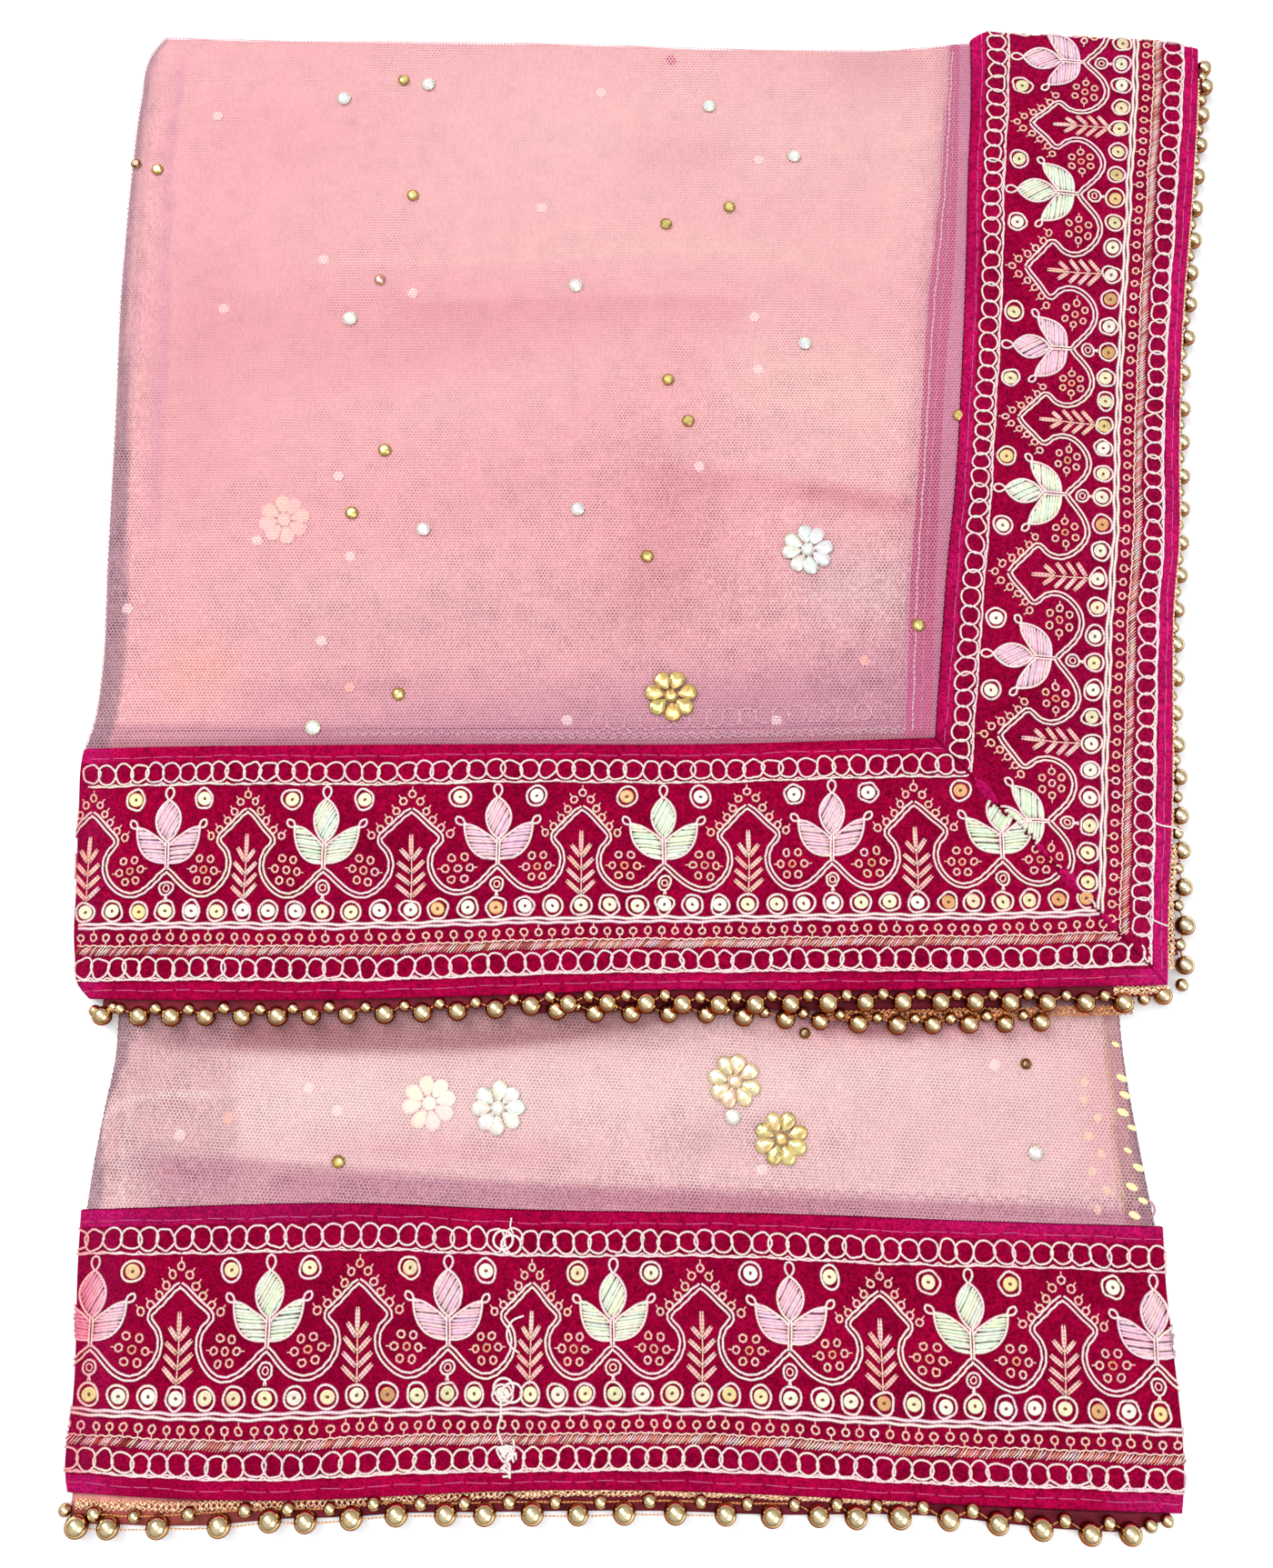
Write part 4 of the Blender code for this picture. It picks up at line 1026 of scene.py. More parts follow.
    def lay_spots(self, bags):
        flat = self.wobble(np.array([spot[:2] for spot in self.spots]))
        place, shown, side, over, normal = self.axes(flat)
        reach = np.array([spot[2] for spot in self.spots])
        for du, dv in ((1, 0), (-1, 0), (0, 1), (0, -1)):
            shown &= self.surface(flat[:, 0] + du * reach, flat[:, 1] + dv * reach)[1]
        shown |= np.array([spot[4] for spot in self.spots])
        bag, dots = bags.setdefault("sequin", Bag()), bags.setdefault("rose", Bag())
        for i in np.flatnonzero(shown):
            _, _, radius, tint, _ = self.spots[i]
            lean = self.random.uniform(-0.10, 0.10, 2)
            tilted = unit(normal[i] + side[i] * lean[0] + over[i] * lean[1])
            along = unit(np.cross(over[i], tilted))
            axes = along, np.cross(tilted, along), tilted
            dish, knob = ([(radius * share, height) for share, height in rows] for rows in (DISH, KNOB))
            round_form(bag, place[i], axes, dish, 14, tint, 0.03, lean[0] * 30)
            round_form(dots, place[i], axes, knob, 6, self.shade(DOT, 0.25), 0.25, lean[1] * 30)


# Sections of a sequin and of the knot in its middle. Columns: share of its radius, height.
DISH = ((1, 0.10), (1, 0.42), (0.80, 0.50), (0.55, 0.30), (0.42, 0.42), (0.22, 0.24), (0, 0.22))
KNOB = ((0.27, 0.24), (0.20, 0.52), (0, 0.60))


def lotus(work, u, green):
    """Three satin petals with a cream outline, loops at the tips and a stem."""
    satin = GREEN_SATIN if green else PINK_SATIN
    here = np.array((u, 0.0))
    right = smooth_path(CENTRE_PETAL, 1.3)
    left = right * (-1, 1)
    for side in (right, left):
        work.cream(side + here, THREAD, 0.5)
    fill_petal(work, np.concatenate([right, left[::-1]]) + here, -1.05, satin)
    for flip in (1, -1):
        sides = [smooth_path(table, 1.3) * (flip, 1) for table in (SIDE_PETAL_TOP, SIDE_PETAL_FOOT)]
        for side in sides:
            work.cream(side + here, THREAD, 0.5)
        fill_petal(work, np.concatenate(sides) + here, -0.10 * flip, satin)
        loop = smooth_path(SIDE_PETAL_LOOP, 0.9, True) * (flip, 1)
        work.cream(loop + here, 1.15, 0.45, closed=True)
    work.cream(smooth_path(CENTRE_PETAL_LOOP, 0.9, True) + here, 1.15, 0.45, closed=True)
    for shift in (-0.5, 0.5):
        stem = smooth_path(((shift, 38.6), (shift * 1.3, 43.0), (shift, 49.4)), 1.3)
        work.cream(stem + here, 1.05, 0.6)


def fill_petal(work, outline, turn, colour):
    """Satin: close strands, highest in the middle."""
    rise = 0.22 + 0.55 * np.sin(np.linspace(0.12, math.pi - 0.12, 5))
    for pair in satin_strands(outline, turn, 1.18):
        path = mix(pair[0], pair[1], np.linspace(0.0, 1.0, 5)[:, None])
        path = path + work.random.normal(0, 0.16, 2) + work.random.normal(0, 0.05, path.shape)
        work.stroke("satin", path, 1.5, colour, rise, 0.75, 0.09, taper=(0.6, 1.0, 1.0, 1.0, 0.6))


def scroll(work, u):
    """The doubled scroll from the stem to the arch's peak, on either side."""
    path = np.concatenate([smooth_path(SCROLL_FOOT, 1.25), smooth_path(SCROLL_HEAD, 1.25)[1:]])
    for flip in (1, -1):
        for shift in (-0.84, 0.84):
            line = beside(path, shift) * (flip, 1) + (u, 0.0)
            sway = 0.10 * np.sin(np.arange(len(line)) * 1.9 + shift * 9 + u)[:, None]
            work.cream(line + sway, 1.12, 0.38 + 0.1 * (shift > 0))
    work.ring("cream", u, 56.6, 2.75, 1.15, CREAM, lift=0.5)
    work.ring("cream", u, 56.6, 1.25, 0.85, mix(CREAM, ROSE, 0.6), lift=0.5)
    for shift in (-0.5, 0.5):
        work.cream(((u + shift, 59.4), (u - shift * 0.6, 60.4), (u - shift, 61.4)), 0.9, 0.5)


def tiny_ring(work, u, v, radius=1.38, spur=None, colour=ROSE):
    """A small rose-gold ring, with a spur of thread on its outer side."""
    colour = mix(colour, CREAM, max(0.0, work.random.normal(0.0, 0.3)))
    work.ring("rose", u, v, radius, 1.08, colour, count=9)
    if spur is not None:
        reach = np.array((math.cos(spur), math.sin(spur)))
        path = np.array((u, v)) + reach * np.array([[radius], [radius + 0.9], [radius + 1.7]])
        work.stroke("rose", path, 0.7, colour, 0.25)


def arch(work, u):
    """What goes with an arch: its small rings and the sprig inside."""
    for side, over in ARCH_RINGS:
        for flip in (1, -1) if side else (1,):
            spur = math.atan2(-1.0, 0.75 * flip if side else 0.0)
            tiny_ring(work, u + side * flip, ARCH_PEAK + over, spur=spur)
    leaf(work, (u, 44.2), (u, 35.9))
    for foot, tip, reach in SPRIG_LEAVES:
        for flip in (1, -1):
            leaf(work, (u + 0.4 * flip, foot), (u + reach * flip, tip + work.sway(0.4)))
    work.stroke("rose", smooth_path(((u, 42.0), (u + 0.2, 52.0), (u, 62.6)), 2.0), 0.8, ROSE)


def leaf(work, foot, tip):
    path = mix(np.array(foot), np.array(tip), np.linspace(0.0, 1.0, 5)[:, None])
    tint = mix(ROSE, CREAM, work.random.uniform(0.0, 0.7))
    for shift in (-0.46, 0.46):
        work.stroke("rose", beside(path, shift), 1.12, tint, 0.42, 0.9, 0.10,
                    taper=(0.6, 1.0, 1.15, 1.05, 0.6))


def ring_flower(work, u, v):
    """Six small rings round a seventh."""
    tiny_ring(work, u, v, colour=ROSE * (0.92, 0.66, 0.5))
    start = work.sway(0.12)
    for k in range(6):
        turn = start + k * math.pi / 3
        reach = 4.9 + work.sway(0.25)
        spot = u + reach * math.cos(turn), v + reach * math.sin(turn)
        tiny_ring(work, *spot, spur=turn if k % 3 == 0 else None)


def chain(work, start, end, middle, line, phase):
    """Overlapping rings with a wavy line of thread along one side, which dips between them."""
    place, number, middles = start + phase, 0, []
    while place < end:
        u, v = place + work.sway(0.4), middle + work.sway(0.25)
        work.ring("cream", u, v, 3.98, 1.05, CREAM, 0.36 + 0.18 * (number % 2), 18)
        middles.append(u)
        place += CHAIN_PITCH
        number += 1
    inward = 1 if line > middle else -1
    for near_u, far_u in zip(middles, middles[1:]):
        dip = line - inward * work.random.uniform(0.6, 1.1)
        out = line - inward * 0.1 + inward * work.random.uniform(-0.2, 0.3)
        gap = 0.5 * (far_u + near_u)
        points = ((near_u, out), (near_u + 1.9, out), (gap, dip), (far_u - 1.9, out), (far_u, out))
        work.cream(smooth_path(points, 1.3), 0.8, 0.5)
    along = np.arange(start, end, 1.25)
    work.cream(np.stack([along, line + 0.14 * np.sin(along * 0.9 + phase)], axis=1), 0.92, 0.36)


def double_line(work, start, end, across):
    """Two threads laid side by side, each with its own slow wander."""
    along = np.arange(start, end, 1.25)
    for shift, phase in ((-0.80, 0.0), (0.80, 1.4)):
        points = np.stack([along, across + shift + 0.2 * np.sin(along / 1.7 + phase)], axis=1)
        work.cream(points, 1.5, 0.42, height=1.0)


def rope(work, start, end, across, colours):
    """Slanted stitches side by side, with a fine line of thread along one side."""
    first, last = colours
    for u in np.arange(start, end, 1.24):
        # towards the start the first colour holds: on the end borders its deep red is painted shade at
        # the left fold
        colour = mix(last, first, 0.85 * float(near(u - start - 14.0, 60.0)))
        pick = work.random.random()
        if pick < 0.56:
            colour = mix(colour, CREAM, 0.85)
        elif pick > 0.90:
            colour = colour * (0.62, 0.40, 0.42)
        reach = 1.6 + work.sway(0.3)
        path = ((u - 1.5, across + reach), (u, across), (u + 1.5, across - reach))
        lift, taper = (0.25, 0.62, 0.25), (0.6, 1.0, 0.6)
        work.stroke("cream", path, 0.86, colour, lift, 0.8, 0.16, taper=taper)
    along = np.arange(start, end, 1.0)
    points = np.stack([along, across - 2.0 + 0.25 * np.sin(along * 1.7)], axis=1)
    work.stroke("cream", points, 0.75, mix(CREAM, ROSE, 0.5), 0.4)


def running_stitch(work, start, end, across):
    u = start
    while u < end:
        long = work.random.uniform(6.0, 9.5)
        path = np.stack([np.linspace(u, u + long, 5), np.full(5, across) + work.sway(0.2)], axis=1)
        work.stroke("plain", path, 0.46, STITCH_PINK, (0.0, 0.16, 0.2, 0.16, 0.0), 0.3, 0.15)
        u += long + work.random.uniform(1.0, 1.8)


def border_pattern(work, start, end, lotuses, phase, ropes, last_drop=1e3):
    """The whole pattern of a border between two places of its chart.

    lotuses: the repeats' numbers. ropes: the rope's colours, first at the start.
    last_drop: where the sequins beside the lotuses stop.
    """
    running_stitch(work, start, end, STITCH_ROWS[0])
    middle, line, _ = CHAIN_ROWS[0]
    chain(work, start, end, middle, line, phase)
    for number in lotuses:
        u = number * REPEAT
        reach, row = RING_SEQUIN
        for place in (u - reach, u + reach):
            if start < place < min(end, last_drop):
                work.ring("cream", place, row, 4.15, THREAD, CREAM, lift=0.42)
                work.sequin(place + work.sway(0.25), row, 2.95)
        lotus(work, u, number % 2 == 1)
        scroll(work, u)
        reach, row = RING_FLOWER
        for place in (u - reach, u + reach):
            ring_flower(work, place, row)
        if start - 40 < u + REPEAT / 2 < end + 40:
            arch(work, u + REPEAT / 2)
    row_start = math.ceil(start / REPEAT * 6) * REPEAT / 6
    for u in np.arange(row_start, end, REPEAT / 6):
        place = u + work.sway(0.35)
        work.ring("cream", place, SEQUIN_ROW, 4.05, THREAD, CREAM, lift=0.42)
        work.sequin(place + work.sway(0.25), SEQUIN_ROW + work.sway(0.25), 2.9)
    double_line(work, start, end, DOUBLE_ROW)
    for u in np.arange(start + 1.4, end, EYELET_PITCH):
        up = work.random.random() < 0.35
        tiny_ring(work, u + work.sway(0.3), EYELET_ROW, spur=-math.pi / 2 if up else math.pi / 2)
    rope(work, start, end, ROPE_ROW, ropes)
    middle, line, shift = CHAIN_ROWS[1]
    chain(work, start, end, middle, line, phase + shift)
    running_stitch(work, start, end, STITCH_ROWS[1])


# --- cloth pieces ----------------------------------------------------------------------------
PLY_DROP, LOW_PLY_DROP = 0.8, 0.7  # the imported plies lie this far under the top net
GHOST_DROP = 0.55  # what lies between them
NET_FOOT = 0.3  # height at which the lower folds end
PINK = seen(247, 186, 189)
TONES = {
    "warm": seen(249, 200, 198),
    "light": seen(250, 204, 199),
    "blush": seen(245, 203, 203),
    "pale": seen(250, 221, 218),
    "peach": seen(252, 184, 174),
    "rose": seen(230, 154, 164),
    "brick": seen(220, 142, 150),
    "dusk": seen(210, 150, 168),
    "cloud": seen(214, 166, 174),
    "ash": seen(216, 172, 176),
    "mist": seen(230, 192, 193),
    "mauve": seen(196, 128, 152),
    "plum": seen(188, 94, 134),
    "wine": seen(166, 100, 110),
    "lavender": seen(216, 150, 180),
    # grey: painted shade, the dark seen through a single ply
    "grey": seen(158, 124, 138),
}
# Soft clouds of colour in the plies. Columns: x, y, turn, half length, half width, share, tone.
UPPER_CLOUDS = (
    (40, 300, 0, 170, 54, 0.8, "warm"), (86, 176, -8, 50, 32, 0.8, "light"),
    (20, 246, -3, 110, 12, 0.4, "light"), (-118, 206, 0, 100, 24, 0.3, "rose"),
    (-194, 186, 88, 64, 18, 0.26, "rose"), (-150, 300, 4, 60, 20, 0.14, "rose"),
    (20, 292, 0, 26, 14, 0.22, "rose"), (118, 276, 80, 40, 7, 0.26, "light"),
    (-60, 176, 14, 62, 13, 0.26, "light"), (-14, 138, 14, 90, 12, 0.12, "dusk"),
    (-70, 128, 4, 120, 22, 0.12, "rose"), (-50, 72, 2, 130, 22, 0.34, "ash"),
    (12, 104, 76, 42, 24, 0.4, "brick"), (96, 126, -10, 30, 5, 0.62, "brick"),
    (98, 86, -10, 30, 24, 0.66, "mist"), (-120, 86, 8, 60, 10, 0.22, "light"),
    (-188, 48, 0, 18, 16, 0.5, "peach"), (-128, 40, 4, 46, 6, 0.3, "mauve"),
    (64, 36, 2, 66, 9, 0.34, "mauve"), (-60, 351, -0.6, 170, 3.4, 0.34, "mauve"),
    (112, 335, 0, 26, 12, 0.2, "mauve"),
)
LOWER_CLOUDS = (
    (0, -140, 0, 900, 400, 1, "blush"), (-134, -131, 2, 36, 17, 0.6, "pale"),
    (-22, -128, 0, 90, 15, 0.36, "pale"), (86, -122, 0, 66, 10, 0.3, "pale"),
    (112, -102, 0, 62, 6, 0.55, "rose"), (192, -138, 90, 34, 10, 0.3, "rose"),
    (-70, -152, -3, 60, 7, 0.26, "rose"), (30, -148, 4, 24, 9, 0.24, "cloud"),
    (-186, -158, -4, 26, 8, 0.42, "cloud"), (-208, -128, 90, 40, 12, 0.36, "cloud"),
    # the two wine clouds under the upper border's beads deepen the painted shadow there
    (-150, -104, 0, 52, 7, 0.52, "wine"), (-30, -106, 3, 60, 5, 0.36, "wine"),
    (22, -171, -2, 66, 5, 0.5, "brick"), (-112, -169, -3, 40, 4, 0.34, "blush"),
)
# Edges of the plies below, that show as a step of tone. Columns: the edge, the side that is
# toned, width of the step, reach of the tone, start and end along it, share, tone.
UPPER_EDGES = (
    (((-200, 219.5), (-163, 221.5), (-81, 220), (-25, 222.6), (60, 221)),
     "below", 2.6, 22, (-100, 40), 0.34, "rose"),
    (((-200, 234), (-163, 235.5), (-41, 237.5), (0, 240.8), (41, 243), (73, 236.6), (106, 219)),
     "above", 1.4, 7, (-140, 108), 0.4, "light"),
    (((-20, 141), (0, 141.7), (59.5, 136.8), (125, 125)), "above", 3, 26, (24, 130), 0.3, "light"),
    (((-20, 141), (0, 141.7), (59.5, 136.8), (125, 125)),
     "below", 3.4, 14, (10, 130), 0.34, "rose"),
    (((-240, 20), (-170, 40), (-100, 56), (0, 66), (60, 72), (125, 84)),
     "below", 40, 150, (-250, 140), 0.8, "dusk"),
    (((23.8, 106), (84, 109), (146, 115), (219, 122), (277, 130), (342, 136)),
     "right", 7, 60, (10, 360), 0.26, "mauve"),
    (((15, 112), (24, 112.8), (84, 116.9), (146, 123), (219, 129.6), (277, 137.4), (345, 144.4)),
     "right", 1.2, 80, (8, 360), 0.62, "plum"),
    (((15, -221.5), (60, -221.8), (133, -221.3), (218, -221.5), (276, -222), (340, -219.5)),
     "left", 2.6, 20, (10, 352), 0.52, "cloud"),
    (((133, -207.5), (218, -208.6), (276, -210), (330, -208)),
     "left", 1.2, 9, (120, 330), 0.36, "lavender"),
    (((-230, 26.2), (-115, 25), (-20, 26), (60, 27.6), (120, 29)),
     "below", 2.6, 30, (-240, 130), 0.5, "mauve"),
    (((-230, 18.6), (-115, 18.8), (-20, 19.2), (60, 20.2), (120, 22)),
     "below", 0.8, 30, (-240, 130), 0.4, "wine"),
)
LOWER_EDGES = (
    # The first two rows, the wine band under the upper border's beads: the velvet of a ply below, with
    # the painted shadow of the beads and the border over it.
    (
        (
            (-190, -113), (-112, -115), (-52, -112.6), (0, -105.3), (37, -99.8), (60, -101),
            (93.5, -108), (112, -109), (150, -98), (210, -96),
        ),
        "above", 6, 60, (-190, 196), 0.66, "wine",
    ),
    (((-205, -98), (-190, -98), (0, -97), (200, -94)), "above", 3, 60, (-240, 230), 0.5, "wine"),
    (((-178, -162), (-150, -161), (-109, -164.5), (-84, -164)),
     "left", 2.8, 80, (-200, -80), 0.42, "cloud"),
    (((-222, -142), (-219, -139), (-211, -131), (-200, -128.2), (-186, -127), (-170, -127.4)),
     "below", 1, 4, (-216, -178), 0.6, "pale"),
    (((-180, -209.5), (-150, -209.8), (-128, -208.5)), "right", 1, 4, (-176, -134), 0.5, "pale"),
    (
        (
            (-200, -150.5), (-166, -152), (-110, -156), (-52, -160.7), (0, -163.4), (100, -167.5),
            (212, -172),
        ),
        "below", 4, 60, (-188, 196), 0.52, "mauve",
    ),
    (((-140, -160), (-110, -160.5), (-52, -164.5), (0, -167.5), (100, -170.5), (212, -175)),
     "below", 1.2, 60, (-140, 212), 0.4, "mauve"),
    (((-180, 196.4), (-166, 195.8), (-150, 194.4), (-130, 194.8), (-115, 193.6), (-96, 192.6)),
     "right", 0.9, 60, (-200, -80), 0.46, "wine"),
    # The grey rows at the net's two folds are painted shade, the dark seen through a single ply.
    (((-178, 203.5), (-109, 199.6), (-84, 199)), "right", 1, 60, (-200, -80), 0.62, "grey"),
    (((-180, -216), (-166, -214.5), (-140, -217), (-109, -207.5), (-84, -206)),
     "left", 1.2, 60, (-200, -80), 0.62, "grey"),
)
# How plainly the mesh shows. Columns as for the clouds, with the tone left out.
UPPER_MESH = (
    (0, 60, 0, 230, 46, 0.24), (70, 84, -20, 80, 44, 0.2), (30, 170, 25, 60, 30, 0.12),
    (-225, 150, 90, 180, 13, 0.34), (128, 180, 82, 170, 14, 0.26), (0, 130, 0, 130, 40, 0.12),
)
LOWER_MESH = (
    (-200, -130, 0, 40, 60, 0.34), (0, -172, -1.5, 240, 12, 0.4), (30, -146, 0, 60, 14, 0.26),
    (0, -126, 0, 260, 60, 0.06), (205, -140, 90, 60, 9, 0.5), (0, -100, 0, 240, 9, 0.3),
)
# Where a border's pink is hotter and where it is darker. Columns: x, y, turn, half length,
# half width, share.
HOT = (
    (190, -178, -2, 90, 7, 0.8), (-180, -176, 2, 70, 7, 0.5), (-228, -40, 90, 70, 9, 0.9),
    (-216, -230, 90, 70, 12, 1), (188, 340, 0, 60, 20, 0.5), (240, 130, 83, 230, 60, 0.75),
    (150, 180, 84, 200, 9, 0.5), (212, -286, 0, 26, 6, 0.7), (216, -60, 90, 40, 12, 0.7),
    (30, -86, 0, 40, 5, 0.3),
)
SHADY = (
    (236, 118, -20, 34, 7, 0.22), (200, 320, -8, 44, 9, 0.12), (180, 60, 60, 50, 12, 0.12),
    (-120, -30, 8, 60, 14, 0.1), (60, -60, -6, 70, 12, 0.1), (-100, -220, 3, 80, 14, 0.1),
    (120, -250, -5, 70, 12, 0.12), (-140, -176, 1, 60, 4, 0.25), (100, 18, 0, 120, 3, 0.18),
)


def toned(x, y, clouds, edges, mesh):
    """The plies' colour at each point, and how plainly the mesh shows there."""
    colour = np.broadcast_to(PINK, (*x.shape, 3))
    for cloud in clouds:
        colour = mix(colour, TONES[cloud[6]], swell(x, y, cloud)[..., None])
    for line, side, step, reach, (start, end), share, tone in edges:
        over, along = (y, x) if side in ("above", "below") else (x, y)
        distance = (over - curve_at(line, along)) * (1 if side in ("above", "right") else -1)
        ends = near(start - along, 16.0) * near(along - end, 16.0)
        weight = share * (1 - near(distance, step)) * near(distance - step, reach) * ends
        colour = mix(colour, TONES[tone], weight[..., None])
    return colour, 0.24 + swells(x, y, mesh)


def left_margin(y):
    """Width at the left where the top net lies on one ply alone."""
    return 2.8 + 6.4 * near(y - 70.0, 190.0)


def net_pair(x, y, flat, leaf, tones, drops, finishes, fall, grey):
    """A net and, under it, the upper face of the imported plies."""
    colour, depth = toned(x, y, *tones)
    # grey: where a margin takes the grey tone as painted shade
    colour = mix(colour, TONES["grey"], (0.62 * grey)[..., None])
    depth = np.clip(depth + 0.2 * grey, 0.0, 0.75)
    made = []
    for name, drop, finish, share in zip(("sheet", "plies"), drops, finishes, (1.03, 0.92)):
        shade = share - (0.06 * depth if drop else 0.0)
        bag = Bag()
        tint = colour * np.broadcast_to(shade, x.shape)[..., None]
        bag.sheet(x, y, fall(flat, drop), tint, depth)
        made.append(bag.piece(f"{leaf}_{name}", finish, "net"))
    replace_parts(made[0], leaf)
    return made


def upper_net():
    u = shares(NET_SPAN[0], 170, first=fine_rows(FOLD_NOSE[0]))
    v = shares(NET_SPAN[1], 150, last=fine_rows(BACK_RUN))
    x, y = settle(
        *np.meshgrid(u, v),
        lambda y: (curve_at(UPPER_LEFT, y), curve_at(SIDE_INNER, y) - SEAM_GAP),
        lambda x: (curve_at(END_INNER, x) + SEAM_GAP, curve_at(NET_TOP, x)),
        END_INNER[0][1], NET_TOP[0][1],
    )
    flat = net_level(x, y)
    distance = x - curve_at(UPPER_LEFT, y)
    left = distance, *FOLD_NOSE
    back = curve_at(NET_TOP, x) - y, BACK_RUN, flat - NET_WALL

    def fall(flat, drop):
        level = wall_heights(flat, drop, left, back)[1]
        return np.maximum(level, NET_FOOT if drop else BACK_FOOT)

    # painted shade: the left margin takes the grey tone, the dark seen through the single ply there
    grey = near(distance - left_margin(y), 1.6)
    tones = UPPER_CLOUDS, UPPER_EDGES, UPPER_MESH
    return net_pair(x, y, flat, "net_upper", tones, (0.0, PLY_DROP), ("net", "ply"), fall, grey)


def lower_net():
    rows = fine_rows(LOW_FOLD_RUN)
    u = shares(LOW_NET_SPAN[0], 190, first=rows, last=rows)
    u, v = np.meshgrid(u, shares(LOW_NET_SPAN[1], 50))
    x, y = settle(
        u, v,
        lambda y: (curve_at(LOW_NET_LEFT, y), curve_at(LOW_NET_RIGHT, y)),
        lambda x: (curve_at(LOW_BAND_TOP, x) + SEAM_GAP, curve_at(END_OUTER, x) + LOW_TUCK),
        LOW_NET_LEFT[0][0], LOW_NET_LEFT[-1][0],
    )
    from_end = np.minimum(u, 1 - u) * LOW_NET_SPAN[0]

    def fall(flat, drop):
        return flat - drop - turned(from_end - drop, LOW_FOLD_RUN - drop, flat - drop - NET_FOOT)

    tones = LOWER_CLOUDS, LOWER_EDGES, LOWER_MESH
    flat, grey = low_net_level(x, y), np.zeros_like(x)
    finishes = "low_net", "ply"
    return net_pair(x, y, flat, "net_lower", tones, (0.0, LOW_PLY_DROP), finishes, fall, grey)


def velvet_tint(x, y, share):
    hot = np.clip(swells(x, y, HOT), 0.0, 1.0)
    dark = np.clip(swells(x, y, SHADY), 0.0, 0.5)
    return np.stack([share, hot, 1.02 - dark], axis=-1)


def hem_shares(span):
    rows = (0.0, 0.25, 0.6, HEM[0])
    return shares(span, 46, first=rows, last=rows)


def velvet(name, x, y, top, foot, share):
    bag = Bag()
    bag.slab(x, y, top, foot, velvet_tint(x, y, share))
    piece = bag.piece(f"velvet_{name}", "velvet", "velvet", outward=True)
    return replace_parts(piece, f"border_{name}")


def hem_falls(t, across, end, along):
    """How far a border's top falls at its outer hem, at its inner one and at the mitre's end."""
    return (
        turned((1 - t) * across, *HEM),
        turned(t * across, *INNER_HEM),
        turned(end * along, *MITER_HEM),
    )


def end_border():
    u = shares(END_BAND_SPAN[0], 190, first=fine_rows(VELVET_NOSE[0]))
    u, t = np.meshgrid(u, hem_shares(END_BAND_SPAN[1])[::-1])
    left_x = end_left(t)
    x = mix(left_x, mix(CORNER_IN[1], CORNER_OUT[1], t) - MITER_GAP, u)
    inner_x = mix(END_INNER[0][0], CORNER_IN[1] - MITER_GAP, u)
    outer_x = mix(UPPER_LEFT[0][1], CORNER_OUT[1] - MITER_GAP, u)
    y = mix(curve_at(END_INNER, inner_x), curve_at(END_OUTER, outer_x), t)
    top, foot = wall_heights(velvet_face(x, y), VELVET_WALL, (x - left_x, *VELVET_NOSE))
    for fall in hem_falls(t, END_BAND_SPAN[1], 1 - u, END_BAND_SPAN[0]):
        top -= fall
    return velvet("end_upper", x, y, top, foot, t)


def side_border():
    v = shares(SIDE_BAND_SPAN[1], 180, last=fine_rows(BACK_RUN))
    s, v = np.meshgrid(hem_shares(SIDE_BAND_SPAN[0]), v)
    inner_y = mix(CORNER_IN[0], SIDE_TOP[0][1], v)
    outer_y = mix(CORNER_OUT[0], SIDE_TOP[-1][1], v)
    x = mix(curve_at(SIDE_INNER, inner_y), curve_at(SIDE_OUTER, outer_y), s)
    y = mix(mix(CORNER_IN[0], CORNER_OUT[0], s), side_back(s), v)
    flat = velvet_face(x, y)
    back = (1 - v) * SIDE_BAND_SPAN[1], BACK_RUN, flat - VELVET_WALL
    top, foot = wall_heights(flat, VELVET_WALL, back)
    for fall in hem_falls(s, SIDE_BAND_SPAN[0], v, SIDE_BAND_SPAN[1]):
        top -= fall
    return velvet("side_upper", x, y, np.maximum(top, BACK_FOOT), foot, s)


def low_border():
    rows = fine_rows(LOW_FOLD_RUN)
    u = shares(LOW_BAND_SPAN[0], 200, first=rows, last=rows)
    u, t = np.meshgrid(u, hem_shares(LOW_BAND_SPAN[1])[::-1])
    x, y = settle(
        u, t,
        lambda y: (curve_at(LOW_BAND_LEFT, y), curve_at(LOW_BAND_RIGHT, y)),
        lambda x: (curve_at(LOW_BAND_TOP, x), curve_at(LOW_BAND_FOOT, x)),
        LOW_BAND_LEFT[-1][0], LOW_BAND_LEFT[0][0],
    )
    folded = turned(np.minimum(u, 1 - u) * LOW_BAND_SPAN[0], LOW_FOLD_RUN, LOW_BAND_FALL)
    hemmed = turned(np.minimum(t, 1 - t) * LOW_BAND_SPAN[1], *HEM)
    top = low_band_face(x, y) - np.maximum(folded, hemmed)
    return velvet("end_lower", x, y, top, np.zeros_like(top), t)


